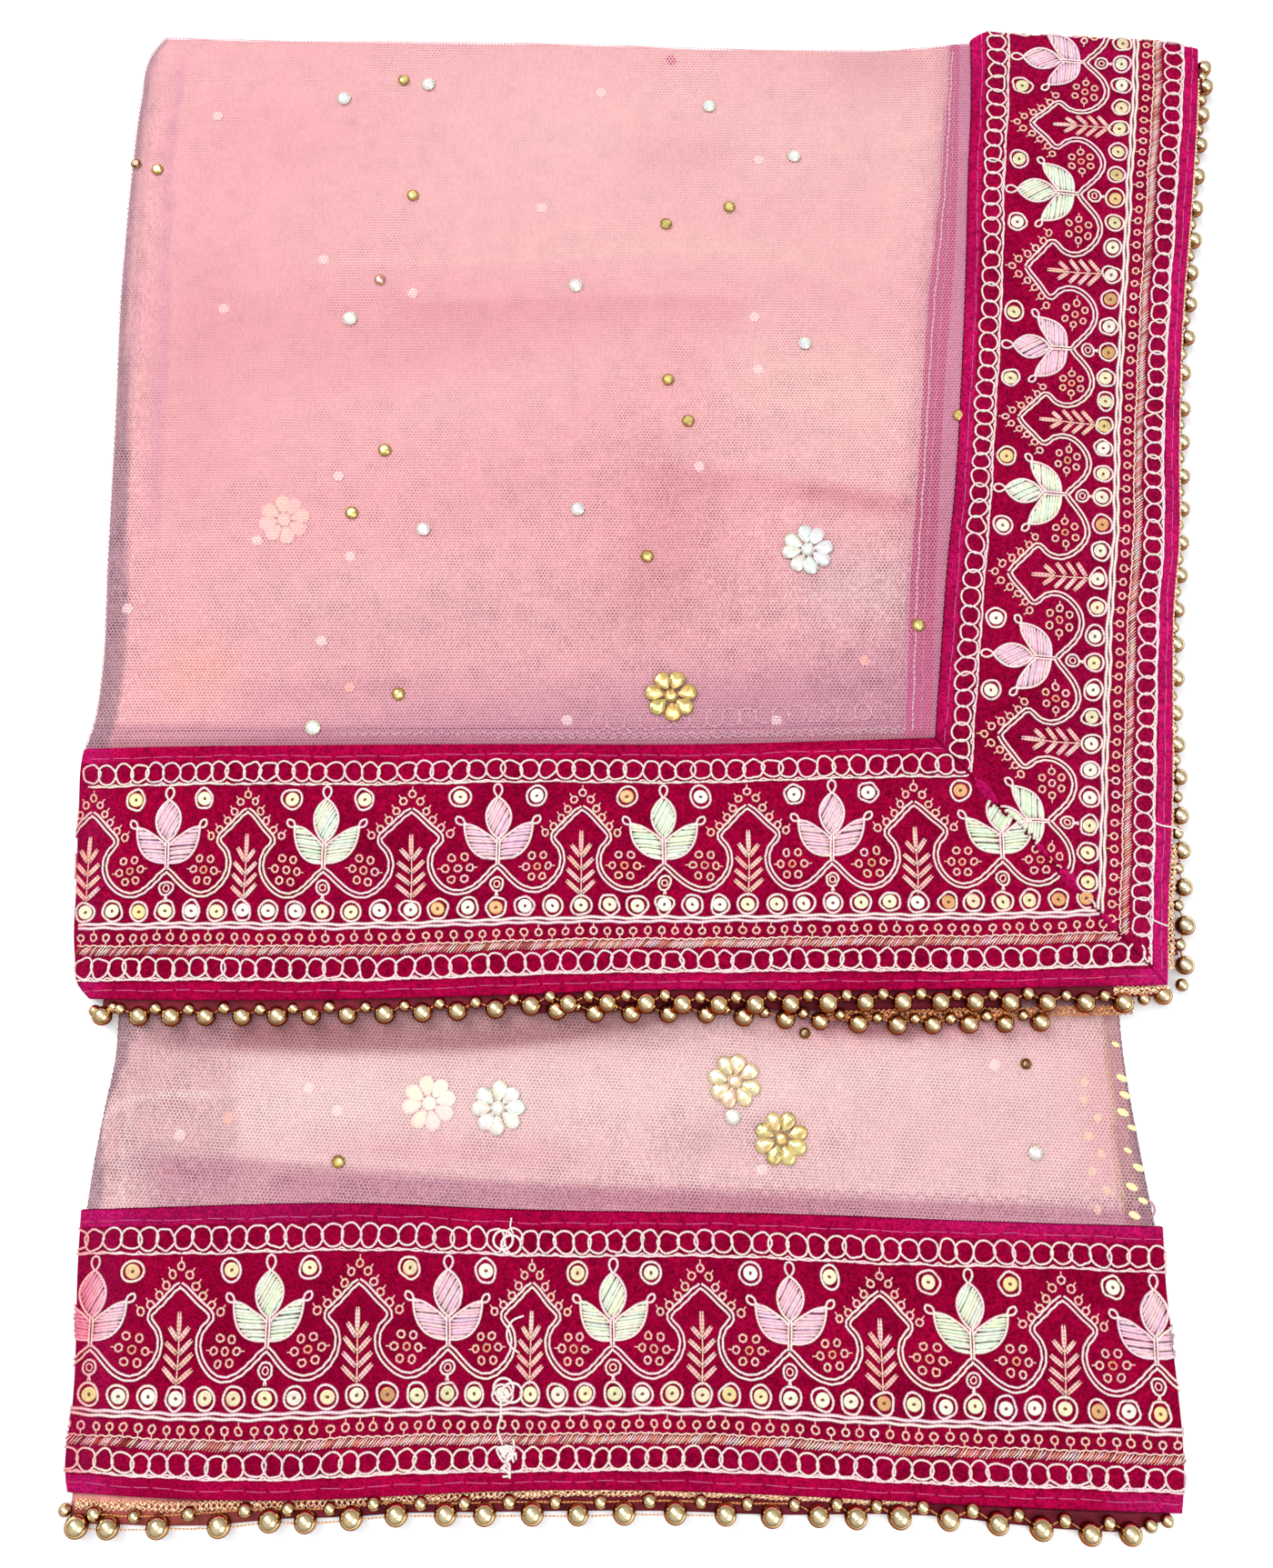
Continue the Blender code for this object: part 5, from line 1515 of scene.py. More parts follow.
def miter_flaps():
    """The turned-in velvet that shows in places along the mitre's seam."""
    bag = Bag()
    start, end = np.array(CORNER_IN[::-1]), np.array(CORNER_OUT[::-1])
    across = unit(np.array((start[1] - end[1], end[0] - start[0])))
    a, w = np.meshgrid(np.linspace(-1, 1, 17), np.linspace(-1, 1, 11))
    ridge = 0.42 * (np.exp(-((w - 0.15) ** 2) * 9) + 0.4 * (1 - np.abs(w) ** 3))
    for middle, half, on_end, on_side in MITER_BARE:
        width = np.where(w < 0, on_end, on_side) * (1 - a**2) + 0.12
        width = width * (1 + 0.12 * np.sin(a * 3 + middle) * np.sign(w))
        spot = start + (end - start) * ((middle + a * half) / BORDER)[..., None]
        x, y = np.moveaxis(spot + across * (w * width)[..., None], -1, 0)
        base = velvet_face(x, y)
        tint = np.stack([np.full(x.shape, 0.99), 0.50 + 0.2 * w, 1.0 + 0.10 * w], axis=-1)
        bag.slab(x, y, base + 0.10 + ridge * (1 - a**4), base - 0.05, tint)
    return bag.piece("velvet_mitre_flaps", "velvet", "velvet", outward=True)


PLIES = 7
PLY_DEPTH = 12.0
# Section of a folded ply. Columns: how far in, share of its height.
PLY_NOSE = (
    (1.0, 0.06), (0.3, 0.16), (0.0, 0.5), (0.3, 0.84), (1.0, 0.94),
    (PLY_DEPTH, 0.94), (PLY_DEPTH, 0.06),
)


def hidden_plies():
    """The folded edges of the plies below, each a flat band with a rounded nose."""
    bag = Bag()
    outline = hidden_outline(240)
    middle, half = outline.mean(axis=0), np.ptp(outline, axis=0) / 2
    turn = np.linspace(0, 2 * math.pi, len(outline), endpoint=False)
    for ply in range(PLIES):
        sway = 0.55 + 0.8 * np.sin(1.7 * ply) ** 2 + 0.5 * np.sin(3 * turn + 2.1 * ply)
        sway = sway + 0.2 * np.sin(17 * turn + ply)
        rows = []
        for inset, share in PLY_NOSE:
            spot = middle + (outline - middle) * (1 - (inset + sway)[:, None] / half)
            level = hidden_level(spot[:, 0], spot[:, 1]) - RIM_FALL
            rows.append(np.column_stack([spot, level * (ply + share) / PLIES]))
        points = np.array(rows)
        x, y = points[..., 0], points[..., 1]
        by_side = (x > curve_at(SIDE_INNER, y) - 4) & (ply % 3 != 1)
        net = PINK * (0.80 + 0.16 * math.sin(2.3 * ply))
        tint = np.where(by_side[..., None], MAGENTA if ply % 2 else CRIMSON, net)
        bag.add(points, grid_quads(len(rows), len(outline), True, True), tint=tint.reshape(-1, 3))
    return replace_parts(bag.piece("plies_folded_edges", "fold", "net", outward=True), "layers_hidden")


# The border of a ply below, beside the side border: its two edges. Columns: y, x.
BELOW_INNER = (
    (15, 112.6), (24, 113.4), (84, 117.5), (146, 123.6), (219, 130.2), (277, 138), (345, 145),
)
BELOW_OUTER = (
    (15, 123.8), (24, 124.6), (84, 128.6), (121, 131.4), (189, 137.4), (233, 142.4), (345, 149.6),
)
# The seam of a ply below the lower net, near its right fold. Columns: y, x.
LOW_RIGHT_SEAM = (
    (-180, 196.4), (-166, 195.8), (-150, 194.4), (-130, 194.8), (-115, 193.6), (-96, 192.6),
)


def ghost_borders():
    """The strips of border and lining on the plies below, seen through the net."""
    y, wide = np.meshgrid(np.linspace(20.0, 347.0, 130), np.linspace(0.0, 1.0, 7), indexing="ij")
    inner, outer = curve_at(BELOW_INNER, y), curve_at(BELOW_OUTER, y)
    seam = np.maximum(curve_at(SIDE_INNER, y) - 0.4, outer + 2.0)
    violet = mix(seen(206, 94, 138), seen(184, 76, 114), near(np.abs(y - 118.0), 90.0)[..., None])
    pale = mix(TONES["lavender"], TONES["mauve"], near(y - 60.0, 160.0)[..., None])
    made = []
    for name, slot, start, end, tint in (
        ("velvet_side_below", "velvet", inner, outer, violet),
        ("lining_side_below", "net", outer, seam, pale),
    ):
        bag = Bag()
        x = mix(start, end, wide)
        bag.sheet(x, y, net_level(x, y) - GHOST_DROP, tint, 0.3)
        made.append(bag.piece(name, "fold", slot))
    return made


def ghost_threads():
    """The chains and lines of thread on the plies below."""
    bag = Bag()
    random = np.random.default_rng(31)

    def lay(points, level, width, tint, closed=False):
        place = np.column_stack([points, level(points[:, 0], points[:, 1]) - GHOST_DROP + 0.16])
        bag.tube(place, width / 2, 0.09, tint, closed=closed)

    def rings(start, end, base, level, radius, tint):
        for x in np.arange(start, end, 7.0):
            spot = np.array((x, base(x) + random.uniform(-0.3, 0.3)))
            lay(spot + circle(radius, 16) * random.uniform(0.85, 1.05, 2), level, 0.9, tint, True)

    rings(-16.0, 110.0, lambda x: 25.6 + (x + 16) * 0.045, net_level, 3.9, seen(232, 190, 202))
    low_row = lambda x: curve_at(LOW_BAND_TOP, x) + 6.6
    rings(-116.0, 208.0, low_row, low_net_level, 3.5, seen(222, 160, 184))
    pale, pink = seen(238, 204, 214), seen(214, 150, 172)
    for shift, start, swing, tint in (
        (5.0, -126.0, 0.7, pale), (3.4, -60.0, 0.7, pale), (7.4, -224.0, 0.15, pink),
    ):
        x = np.arange(start, 114.0, 1.1)
        wave = swing * np.sin(x * 2 * math.pi / 4.4)
        lay(np.column_stack([x, curve_at(END_INNER, x) + shift + wave]), net_level, 0.75, tint)
    y = np.arange(22.0, 345.0, 2.0)
    for share, width, tint in (
        (0.30, 0.9, seen(255, 222, 234)),
        (0.62, 0.5, seen(236, 164, 194)),
        (0.0, 0.6, seen(244, 190, 208)),
    ):
        x = mix(curve_at(BELOW_INNER, y), curve_at(BELOW_OUTER, y), share)
        lay(np.column_stack([x + 0.2 * np.sin(y / 3), y]), net_level, width, tint)
    y = np.arange(-176.0, -99.0, 1.1)
    x = np.interp(y, *zip(*LOW_RIGHT_SEAM))
    for shift, width, tint in ((0.0, 0.9, seen(240, 200, 160)), (1.1, 0.5, seen(250, 222, 170))):
        wave = 0.35 * np.sin(y * 2.1 + shift * 3) + 0.25 * np.sin(y / 2.7)
        lay(np.column_stack([x + shift + wave, y]), low_net_level, width, tint)
    return bag.piece("threads_below_net", "plain", "net")


# --- edging ----------------------------------------------------------------------------------
MAROON, BROWN, CORAL = seen(128, 14, 40), seen(188, 84, 74), seen(244, 160, 150)
GILT, CREAM_GILT = seen(244, 172, 108), seen(278, 238, 196)
SIDE_PALE, LOW_PALE = (1.0, 1.12, 1.30), (1.0, 1.04, 1.06)  # rows whose beads are tinted paler
# Places of the beads along each row. The side's are along y, the others along x.
END_BEAD_X = (
    -218.8, -203.7, -190.6, -176.5, -161.7, -147.3, -133.5, -118.6, -103.3, -87.9, -73.5, -57.9,
    -43.4, -28.1, -12.1, 3.7, 18.4, 33.3, 48.2, 62.6, 77.9, 93.2, 108.5, 124, 138.2, 152.6, 167.9,
    183.8, 199.8,
)
END_BEAD_LINE = (
    (-220, -97), (-160, -97.2), (-133, -96.8), (-88, -95.6), (-58, -94.2), (-43, -92.8),
    (48, -92.4), (78, -91.7), (217, -91.7),
)
INNER_BEADS = (
    (-33, -94.6), (-17.3, -95.6), (-2.4, -95.8), (12.9, -96), (28.5, -96.2), (43.8, -97.2),
    (60.9, -98.3), (75.1, -99), (90.8, -99.9), (106.8, -100.5), (121.3, -100.5), (136.3, -100.1),
    (151.1, -100.1), (165.7, -99.4),
)
SIDE_BEAD_Y = (
    -76.3, -59.9, -43.9, -28.4, -13.7, 2.9, 17, 30.6, 46, 61, 76.4, 92.1, 106.8, 122.3, 137.4,
    153.3, 169, 186.1, 202.9, 219.1, 234.5, 250.4, 266.1, 282.3, 298.2, 313.3, 327.8, 337.4,
)
SIDE_BEAD_X = (
    227.1, 228.4, 228.8, 229, 229.3, 229.9, 229.8, 230.1, 231.4, 232.4, 234, 236.1, 237.8, 239.3,
    240.3, 241.2, 242.6, 243.7, 247, 249, 250.5, 252.9, 254.7, 256.7, 259.1, 260.9, 263.6, 263.4,
)
LOW_BEAD_X = (
    -217, -204.8, -185.6, -161.9, -142.4, -128.6, -110.9, -93.5, -74.4, -59.2, -40.7, -23, -5, 14.9,
    34.4, 52.4, 70.5, 85.1, 102.1, 121.1, 140.2, 157.1, 176, 191.7,
)
# The lower row as the photo shows it: it hugs the hem. Columns: x, y.
LOW_BEAD_PLACE = (
    (-217.5, -291.9), (-162, -292.2), (-143, -290.5), (-111, -289.4), (-94, -288.3),
    (-59.5, -287.9), (15, -287.7), (52, -289), (102, -289.1), (120, -289.9), (140, -292),
    (176, -295), (192, -295.2), (207, -291.4),
)
INNER_BEAD_Z, SIDE_BEAD_Z, LOW_BEAD_Z = 6.4, 5.6, 4.75
# Loose beads at the rows' ends. Columns: x, y, z, radius.
END_CORNER = (
    (216.9, -88.7, 6.4, 3.9), (208.6, -90.2, 7.4, 2.6), (-214.6, -93.6, 6.2, 2.6),
    (-222.4, -95, 5.8, 2.5),
)
SIDE_CORNER = ((225.4, -84.4, 5.6, 2.7),)
LOW_CORNER = ((-222.6, -286.8, 2.8, 2.5), (200.2, -293, 3.1, 2.7), (206.9, -291.4, 3.1, 2.5))
# How many of the lower row's beads each of its two threads runs through.
LOW_FIRST, LOW_LAST = 15, 8
BRAID_PITCH, BRAID_THICK = 4.4, 0.34
BRAID_DROP = 0.4  # how far the braids lie below the velvet


def edge_line(table, start, end, count):
    """Points along an edge. The side's table is read along y."""
    along = np.linspace(start, end, count)
    line = [along, curve_at(table, along)]
    return np.stack(line[::-1] if table is SIDE_OUTER else line, axis=1)


def outward_of(line):
    return beside(line, -1.0) - line


def ribbon(node, line, inner, outer, top, wall=TAPE_WALL, tints=MAROON):
    """A tape with soft waves, its edges to either side of a line. tints: a colour a cross row."""
    share = np.linspace(1.0, 0.0, 6)[:, None]
    reach = inner + (outer - inner) * share
    spots = line[None] + outward_of(line)[None] * reach[..., None]
    heights = top + 0.14 * np.sin(travelled(line) / 3.3 + 4 * share) - 0.16
    shade = 0.9 + 0.14 * np.sin(travelled(line) / 11.0) + 0.05 * np.sin(travelled(line) * 2.1)
    tint = np.broadcast_to(tints, (*heights.shape, 3)) * shade[None, :, None]
    bag = Bag()
    bag.slab(spots[..., 0], spots[..., 1], heights, heights - wall * 0.8, tint)
    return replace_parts(bag.piece(node + "_ribbon", "tape", "tape", outward=True), node)


def ribbons():
    made = []
    end = edge_line(END_OUTER, *END_TAPE_SPAN, 240)
    side = edge_line(SIDE_OUTER, *SIDE_TAPE_SPAN, 220)
    side_out = curve_at(SIDE_BEAD_OUT, side[:, 1]) - 1.2
    for node, line, outer in (("tape_end_upper", end, TAPE_OUT), ("tape_side_upper", side, side_out)):
        made.append(ribbon(node, line, -TAPE_UNDER, outer, under_velvet(line) - 2 * SEAM_GAP))
    line = edge_line(END_OUTER, *INNER_TAPE_SPAN, 120)
    made.append(ribbon("tape_end_inner", line, -INNER_TAPE_UNDER, INNER_TAPE_OUT, INNER_TAPE_TOP))
    line = edge_line(LOW_BAND_FOOT, *LOW_TAPE_SPAN, 240)
    x, y = line.T
    brown = mix(MAROON, BROWN, near(x + 190.0, 80.0)[:, None])
    pink = near(x + 206.0, 50.0)[:, None] * np.array((0, 0, 0.05, 0.3, 0.9, 1.0))[:, None, None]
    reach = y - curve_at(LOW_BEAD_PLACE, x) + 0.4
    tints = mix(brown[None], CORAL, pink)
    made.append(ribbon("tape_end_lower", line, 2 * SEAM_GAP, reach, LOW_TAPE_WALL, LOW_TAPE_WALL, tints))
    return made


def bead_row(node, big, small, radii, seed, extra=(), pale=PLAIN):
    """Plated beads: the big ones, and between them small ones set back."""
    random = np.random.default_rng(seed)
    bag = Bag()
    sizes = radii[0] * random.uniform(0.95, 1.05, len(big))
    tints = random.uniform(0.92, 1.03, (len(big), 1)) * pale
    put_balls(bag, big, sizes, tints, ball(13, 20))
    small = small + random.uniform(-0.4, 0.4, small.shape) * (1.0, 1.0, 0.2)
    sizes = radii[1] * random.uniform(0.92, 1.06, len(small))
    tints = random.uniform(0.88, 1.02, (len(small), 1)) * pale
    put_balls(bag, small, sizes, tints, ball(9, 14))
    for *spot, radius in extra:
        put_balls(bag, [np.array(spot)], [radius], [pale], ball(11, 16))
    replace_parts(bag.piece(node + "_gilt", "gold", "beads"), node)
    return np.concatenate([big, small])


def bead_thread(bag, spots, random, colour=GILT, size=0.3, drop=0.0):
    """The thread that runs from bead to bead."""
    key = spots[:, 0] if np.ptp(spots[:, 0]) > np.ptp(spots[:, 1]) else spots[:, 1]
    path = smooth_path(spots[np.argsort(key)] + (0.0, drop, 0.0), 2.0)
    for shift in (-0.3, 0.3):
        moved = path + np.array((0.0, 0.0, shift)) + random.normal(0, 0.08, path.shape)
        bag.tube(moved, size, size, colour)


def braid(bag, line, level, width, random, tint=CREAM_GILT, pitch=BRAID_PITCH, thick=BRAID_THICK):
    """A crocheted braid: two threads that cross, a looped edge on either side, and knots."""
    outward, travel = outward_of(line), travelled(line)
    width, level = np.broadcast_to(width, travel.shape), np.broadcast_to(level, travel.shape)
    stray = 0.16 * np.sin(travel / 1.9 + 2.0) + 0.22 * np.sin(travel / 5.3)
    turn = travel * 2 * math.pi / pitch + 0.8 * np.sin(travel / 9.0)

    def thread(swing, lift, thick, tint):
        path = np.column_stack([line + outward * swing[:, None], level + lift])
        bag.tube(path, thick, thick, tint)

    for phase, lift in ((0.0, 0.3), (math.pi, 0.5)):
        swing = np.sin(turn + phase) * width * 0.42 + stray
        colours = tint * (0.94 + 0.20 * np.sin(travel / 1.3 + phase))[:, None]
        thread(swing, lift + 0.25 * np.cos(turn), thick, colours)
    for side in (-0.5, 0.5):
        swing = side * width + stray + 0.45 * np.sin(turn * 2 + side)
        thread(swing, 0.3 + 0.1 * np.sin(travel * 3), thick * 0.7, tint * random.uniform(0.86, 1.1))
    spots, quads, tris = ball(3, 6)
    for place in np.arange(0.6, travel[-1], pitch / 2):
        at = int(np.searchsorted(travel, place + random.uniform(-0.3, 0.3)))
        at = min(at, len(line) - 1)
        side = random.uniform(-0.42, 0.42) * width[at]
        centre = np.append(line[at] + outward[at] * side, level[at] + 0.75)
        bag.add(centre + spots * (0.62, 0.62, 0.42), quads, tris, tint=np.minimum(tint * 1.25, 0.95))


def halfway(big, shift):
    return (big[:-1] + big[1:]) / 2 + shift


def edging():
    """The beads, their threads and the crocheted braids."""
    random = np.random.default_rng(5)
    threads, braids = Bag(), Bag()
    x, y = np.array(END_BEAD_X), np.array(SIDE_BEAD_Y)
    end = np.stack([x, curve_at(END_BEAD_LINE, x), curve_at(END_BEAD_HEIGHT, x) * 0.98], axis=1)
    side = np.stack([np.array(SIDE_BEAD_X), y, np.full(len(y), SIDE_BEAD_Z)], axis=1)
    from_corner = y + 76.0
    side_small = halfway(side, (-1.6, 0.0, 0.6))
    side_small = side_small - near(from_corner, 60.0)[:-1, None] * (1.2, 0.0, 0.0)
    side_radii = 3.5 + 0.5 * near(from_corner, 130.0), 2.6
    inner = np.column_stack([np.array(INNER_BEADS), np.full(len(INNER_BEADS), INNER_BEAD_Z)])
    for row in (
        ("beads_end_upper", end, halfway(end, (0.0, 3.1, 0.2)), (4.2, 2.75), 11, END_CORNER),
        ("beads_side_upper", side, side_small, side_radii, 12, SIDE_CORNER, SIDE_PALE),
        ("beads_end_inner", inner, halfway(inner, (0.0, 2.7, 0.0)), (4.1, 2.7), 13),
    ):
        bead_thread(threads, bead_row(*row), random)
    x = np.array(LOW_BEAD_X)
    low = np.stack([x, curve_at(LOW_BEAD_PLACE, x), np.full(len(x), LOW_BEAD_Z)], axis=1)
    low = low + random.uniform(-0.5, 0.5, low.shape) * (0.0, 1.0, 0.0)
    small = halfway(low, (0.0, 4.0, -1.0))
    spots = bead_row("beads_end_lower", low, small, (4.45, 2.85), 14, LOW_CORNER, LOW_PALE)
    bead_thread(threads, spots[:LOW_FIRST], random, CREAM_GILT, 0.22, -0.8)
    bead_thread(threads, spots[len(low) - LOW_LAST :], random, GILT, 0.22)
    braid(braids, edge_line(END_OUTER, 78.0, 204.0, 420) - (0.0, 9.9), 5.9, 3.2, random, GILT)
    for table, span, count, shift, width, *more in (
        (SIDE_OUTER, (-78.0, -26.0), 190, (1.4, 0.0), 2.6),
        (SIDE_OUTER, (-26.0, 330.0), 800, (0.5, 0.0), 0.8, 3.6, 0.22),
        (END_OUTER, (196.0, 219.0), 80, (0.0, -1.6), 2.6),
    ):
        line = edge_line(table, *span, count)
        braid(braids, line + shift, under_velvet(line) - BRAID_DROP, width, random, CREAM_GILT, *more)
    line = edge_line(LOW_BAND_FOOT, -219.0, 110.0, 900)
    width = mix(2.9, 1.3, near(60.0 - line[:, 0], 190.0))
    shift = 2.6 * near(line[:, 0] + 217.0, 90.0) + 0.2 + width / 2
    braid(braids, line - shift[:, None] * (0.0, 1.0), LOW_TAPE_WALL + 0.1, width, random)
    threads.piece("beads_threads", "gilt", "beads")
    braids.piece("braids_crocheted", "braid", "beads")


# --- stones ----------------------------------------------------------------------------------
WHITE, GOLDEN = seen(255, 255, 248), seen(246, 226, 128)
ROSY, DARK = seen(226, 160, 146), seen(132, 84, 30)
# Columns: x, y.
WHITE_STONES = (
    (-134.6, 319.1), (-96.1, 326.6), (33.2, 315.9), (71.8, 290.8), (-128.2, 210.2), (-27.5, 226.6),
    (74.9, 198.8), (-92.9, 111.7), (-25.9, 120.9), (-137, 23.2), (39.1, -137.7), (162.4, -152.1),
)
GOLD_STONES = (
    (-107.5, 328.5), (-218.3, 283), (-101.7, 270.2), (41.9, 265.2), (13.2, 256.6), (13.8, 181.4),
    (22.6, 162), (-110.7, 147.9), (141.8, 164.1), (-124.1, 118.8), (4.4, 99.6), (120.8, 68.5),
    (-101.4, 37.9), (-121.1, -155.4),
)
DARK_STONES = ((69.2, -104), (160, -116.5), (-228.2, 286))
ROSY_STONES = ((-115.3, 228.8),)
# Stones on the ply below the net.
PALE_BELOW = (
    (-192.2, 310.1), (-16.5, 322.7), (55.8, 289.2), (-43.3, 264.8), (-141, 239), (-100.4, 222.5),
    (-184.8, 214.9), (53.8, 186.3), (27.4, 140.7), (-130.6, 136), (-164.9, 106.5), (-219.5, 75.9),
    (-124.2, 99.2), (-135.3, 61.6), (-29.6, 26.6), (59.2, 26.6), (52.5, 211.8), (-186.1, -145),
    (-122.4, -135.2), (-134.4, -126.1), (50.8, -158.7), (147.2, -116.9),
)
PEACH_BELOW = ((-122.3, 41), (97.3, 53.1), (-166.7, -138.1))
RED_BELOW = ((15.8, 339.7),)
# Beads of an edging that lies under the lower net, near its right fold.
GILT_BELOW = (
    (188.7, -138.1), (189.3, -152.5), (185.3, -159.3), (190.7, -166.8), (186.6, -174.6),
    (183.4, -131), (184.4, -145.6), (184, -124),
)
GILT_EDGE = (
    (197.6, -108.6), (199.4, -122.2), (200.2, -129), (199, -136), (202.4, -142.1), (200, -151.1),
    (204, -157.9), (200.8, -165.4), (205, -170.9), (201.2, -176.6),
)
# Columns: petals' colour, how many petals, turn of the first in degrees.
FLOWER_LOOKS = (
    (seen(248, 208, 118), 7, 15.0),
    (WHITE, 8, 10.0),
    (seen(268, 262, 246), 8, 0.0),
    (seen(254, 228, 180), 8, 30.0),
    (seen(252, 220, 142), 8, 20.0),
)
# Columns: x, y, colour, how far below the net.
FLOWERS_BELOW = (
    (-153.4, 115.9, seen(248, 206, 186), 0.45),
    (-85.0, -132.3, seen(252, 232, 212), 0.20),
)
PETAL_LENGTH, PETAL_WIDTH, WIDE_PETAL = 8.4, 7.7, 8.7
PETAL_REACH = 7.0  # from the flower's middle to a petal's
# Painted shade at a stone's foot against its face, and the spread of its faces' painted glints: a gold
# stone's and a white one's.
SHADED = np.array((0.34, 0.17, 0.06)), 0.52, 1.26
CLEAR = np.array((0.97, 0.95, 0.91)), 0.93, 1.10


def faceted(bag, centre, outline, levels, peak, tint, random=None):
    """A cut stone: scaled copies of its outline, up to a point over its middle, with painted shade at
    its foot.
    """
    count = len(outline)
    rows = [np.column_stack([outline * scale, np.full(count, height)]) for scale, height in levels]
    points = np.concatenate([*rows, [(0.0, 0.0, peak)], [(0.0, 0.0, 0.0)]]) + centre
    cap = fan((len(levels) - 1) * count, count, len(points) - 2)
    floor = fan(0, count, len(points) - 1, flip=True)
    colour = np.broadcast_to(tint, (len(points), 3)).copy()
    # painted glints on the faces, and painted shade at the foot
    if random is not None:
        foot, low, high = CLEAR if min(tint) > 0.30 * max(tint) else SHADED
        colour *= random.uniform(low, high, (len(points), 1))
        colour[:count] *= foot
        colour[count : 2 * count] *= mix(foot, 1.0, random.uniform(0.0, 0.7, (count, 1)))
    quads = grid_quads(len(levels), count, ring_columns=True)
    bag.add(points, quads, np.concatenate([cap, floor]), tint=colour)


def stones():
    """The single stones, each in a thin metal setting."""
    random = np.random.default_rng(23)
    gems, rims = Bag(), Bag()
    pale_metal, gold_metal = seen(236, 226, 206), seen(186, 128, 50)
    for places, tint, radius, metal in (
        (WHITE_STONES, WHITE, 2.95, pale_metal), (GOLD_STONES, GOLDEN, 2.5, gold_metal),
        (DARK_STONES, DARK, 2.2, gold_metal), (ROSY_STONES, ROSY, 2.2, gold_metal),
    ):
        for x, y in places:
            reach = radius * random.uniform(0.94, 1.05)
            base = np.array((x, y, level_at(x, y)))
            outline = circle(reach, 10, random.uniform(0, 1))
            shade = tint * random.uniform(0.92, 1.04, 3)
            faceted(gems, base, outline, ((1.0, 0.0), (0.98, 0.5), (0.62, 1.15)), 1.25, shade, random)
            ring = np.column_stack([circle(reach * 1.02, 18), np.full(18, 0.32)]) + base
            rims.tube(ring, 0.24, 0.3, metal, closed=True)
    return [
        gems.piece("stones_single", "stone", "stones", smooth=False),
        rims.piece("stones_settings", "gilt", "stones"),
    ]


def petal_outline(length, width, count=12):
    """A drop, broad and round at its outer end."""
    turn = np.arange(count) / count * 2 * math.pi
    along = np.cos(turn)
    across = np.sin(turn) * (0.78 + 0.30 * along - 0.08 * along**2)
    return np.stack([along * length / 2, across * width / 2], axis=1)


def flower_petals(bag, x, y, base, look, height, random, cut=None):
    """A flower of stones. cut: draws the painted glints of its facets and the painted shade at their
    foot.
    """
    tint, count, start = look
    petal = petal_outline(PETAL_LENGTH, WIDE_PETAL if count == 7 else PETAL_WIDTH)
    for k in range(count):
        turn = math.radians(start) + k * 2 * math.pi / count + random.uniform(-0.07, 0.07)
        cos, sin = math.cos(turn), math.sin(turn)
        outline = petal @ np.array(((cos, sin), (-sin, cos)))
        centre = np.array((x + PETAL_REACH * cos, y + PETAL_REACH * sin, base))
        shade = tint * random.uniform(0.90, 1.06, 3)
        levels = ((0.97, 0.0), (1.0, 0.35 * height), (0.84, 0.66 * height), (0.58, 0.90 * height))
        faceted(bag, centre, outline, levels, height, shade, cut)
    shade = tint * random.uniform(0.98, 1.08, 3)
    levels = ((1.0, 0.0), (1.0, 0.45 * height), (0.62, height))
    faceted(bag, np.array((x, y, base)), circle(2.9, 10), levels, height * 1.1, shade, cut)


def stone_flowers():
    """The five flowers of stones on the net, and what shines through from the ply below."""
    random = np.random.default_rng(29)
    made = []
    reach = np.linspace(-FLOWER_RADIUS, FLOWER_RADIUS, 9)
    for number, ((x, y), look) in enumerate(zip(FLOWERS, FLOWER_LOOKS), 1):
        base = float(net_face(y)(*np.meshgrid(x + reach, y + reach)).max()) + 0.05
        bag = Bag()
        flower_petals(bag, x, y, base, look, 1.7, random, random)
        piece = bag.piece(f"stone_flower_{number}_cut", "stone", "stones", smooth=False)
        made.append(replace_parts(piece, f"stone_flower_{number}"))
    bag = Bag()
    for x, y, tint, drop in FLOWERS_BELOW:
        flower_petals(bag, x, y, level_at(x, y) - drop, (tint, 8, 12.0), 0.3, random)
    for places, tint, radius in (
        (PALE_BELOW, seen(252, 226, 222), 2.4), (PEACH_BELOW, seen(252, 186, 160), 2.4),
        (RED_BELOW, seen(190, 60, 110), 2.4), (GILT_BELOW, seen(250, 214, 172), 1.9),
        (GILT_EDGE, seen(255, 236, 176), 1.9),
    ):
        for x, y in places:
            drop, outline = GHOST_DROP, circle(radius, 10)
            if places is GILT_EDGE:  # beads seen from beside: long, and leaning
                lean = np.array(((0.90, -0.44), (0.44, 0.90)))
                drop, outline = 0.12, outline * (1.35, 0.72) @ lean * random.uniform(0.7, 1.1)
            base = np.array((x, y, level_at(x, y) - drop))
            faceted(bag, base, outline, ((1.0, 0.0), (1.0, 0.12), (0.6, 0.3)), 0.3, tint)
    made.append(bag.piece("stones_below_net", "ghost", "stones", smooth=False))
    return made


# --- borders' embroidery ---------------------------------------------------------------------
def embroider(border, surface, facing, seed, fold, *pattern):
    """A border's threads and sequins as pieces."""
    work = Embroidery(surface, facing, seed, fold)
    border_pattern(work, *pattern)
    if surface is end_surface:
        work.sequin(CORNER_SEQUIN, SEQUIN_ROW, 2.9, whole=True)
    return [
        bag.piece(f"stitches_{border}_{thread}", thread, "beads" if thread == "sequin" else "velvet")
        for thread, bag in work.lay().items()
        if bag.count
    ]


CORNER_SEQUIN = 384.8  # its place along the end border, on the mitre
NO_FOLD = -1e3
# The end ropes' first colours, deep red towards the left fold, are painted shade.
END_ROPE = seen(206, 66, 74), seen(252, 178, 160)
SIDE_ROPE = seen(250, 170, 146), seen(252, 186, 172)
LOW_ROPE = seen(206, 66, 74), seen(252, 178, 156)
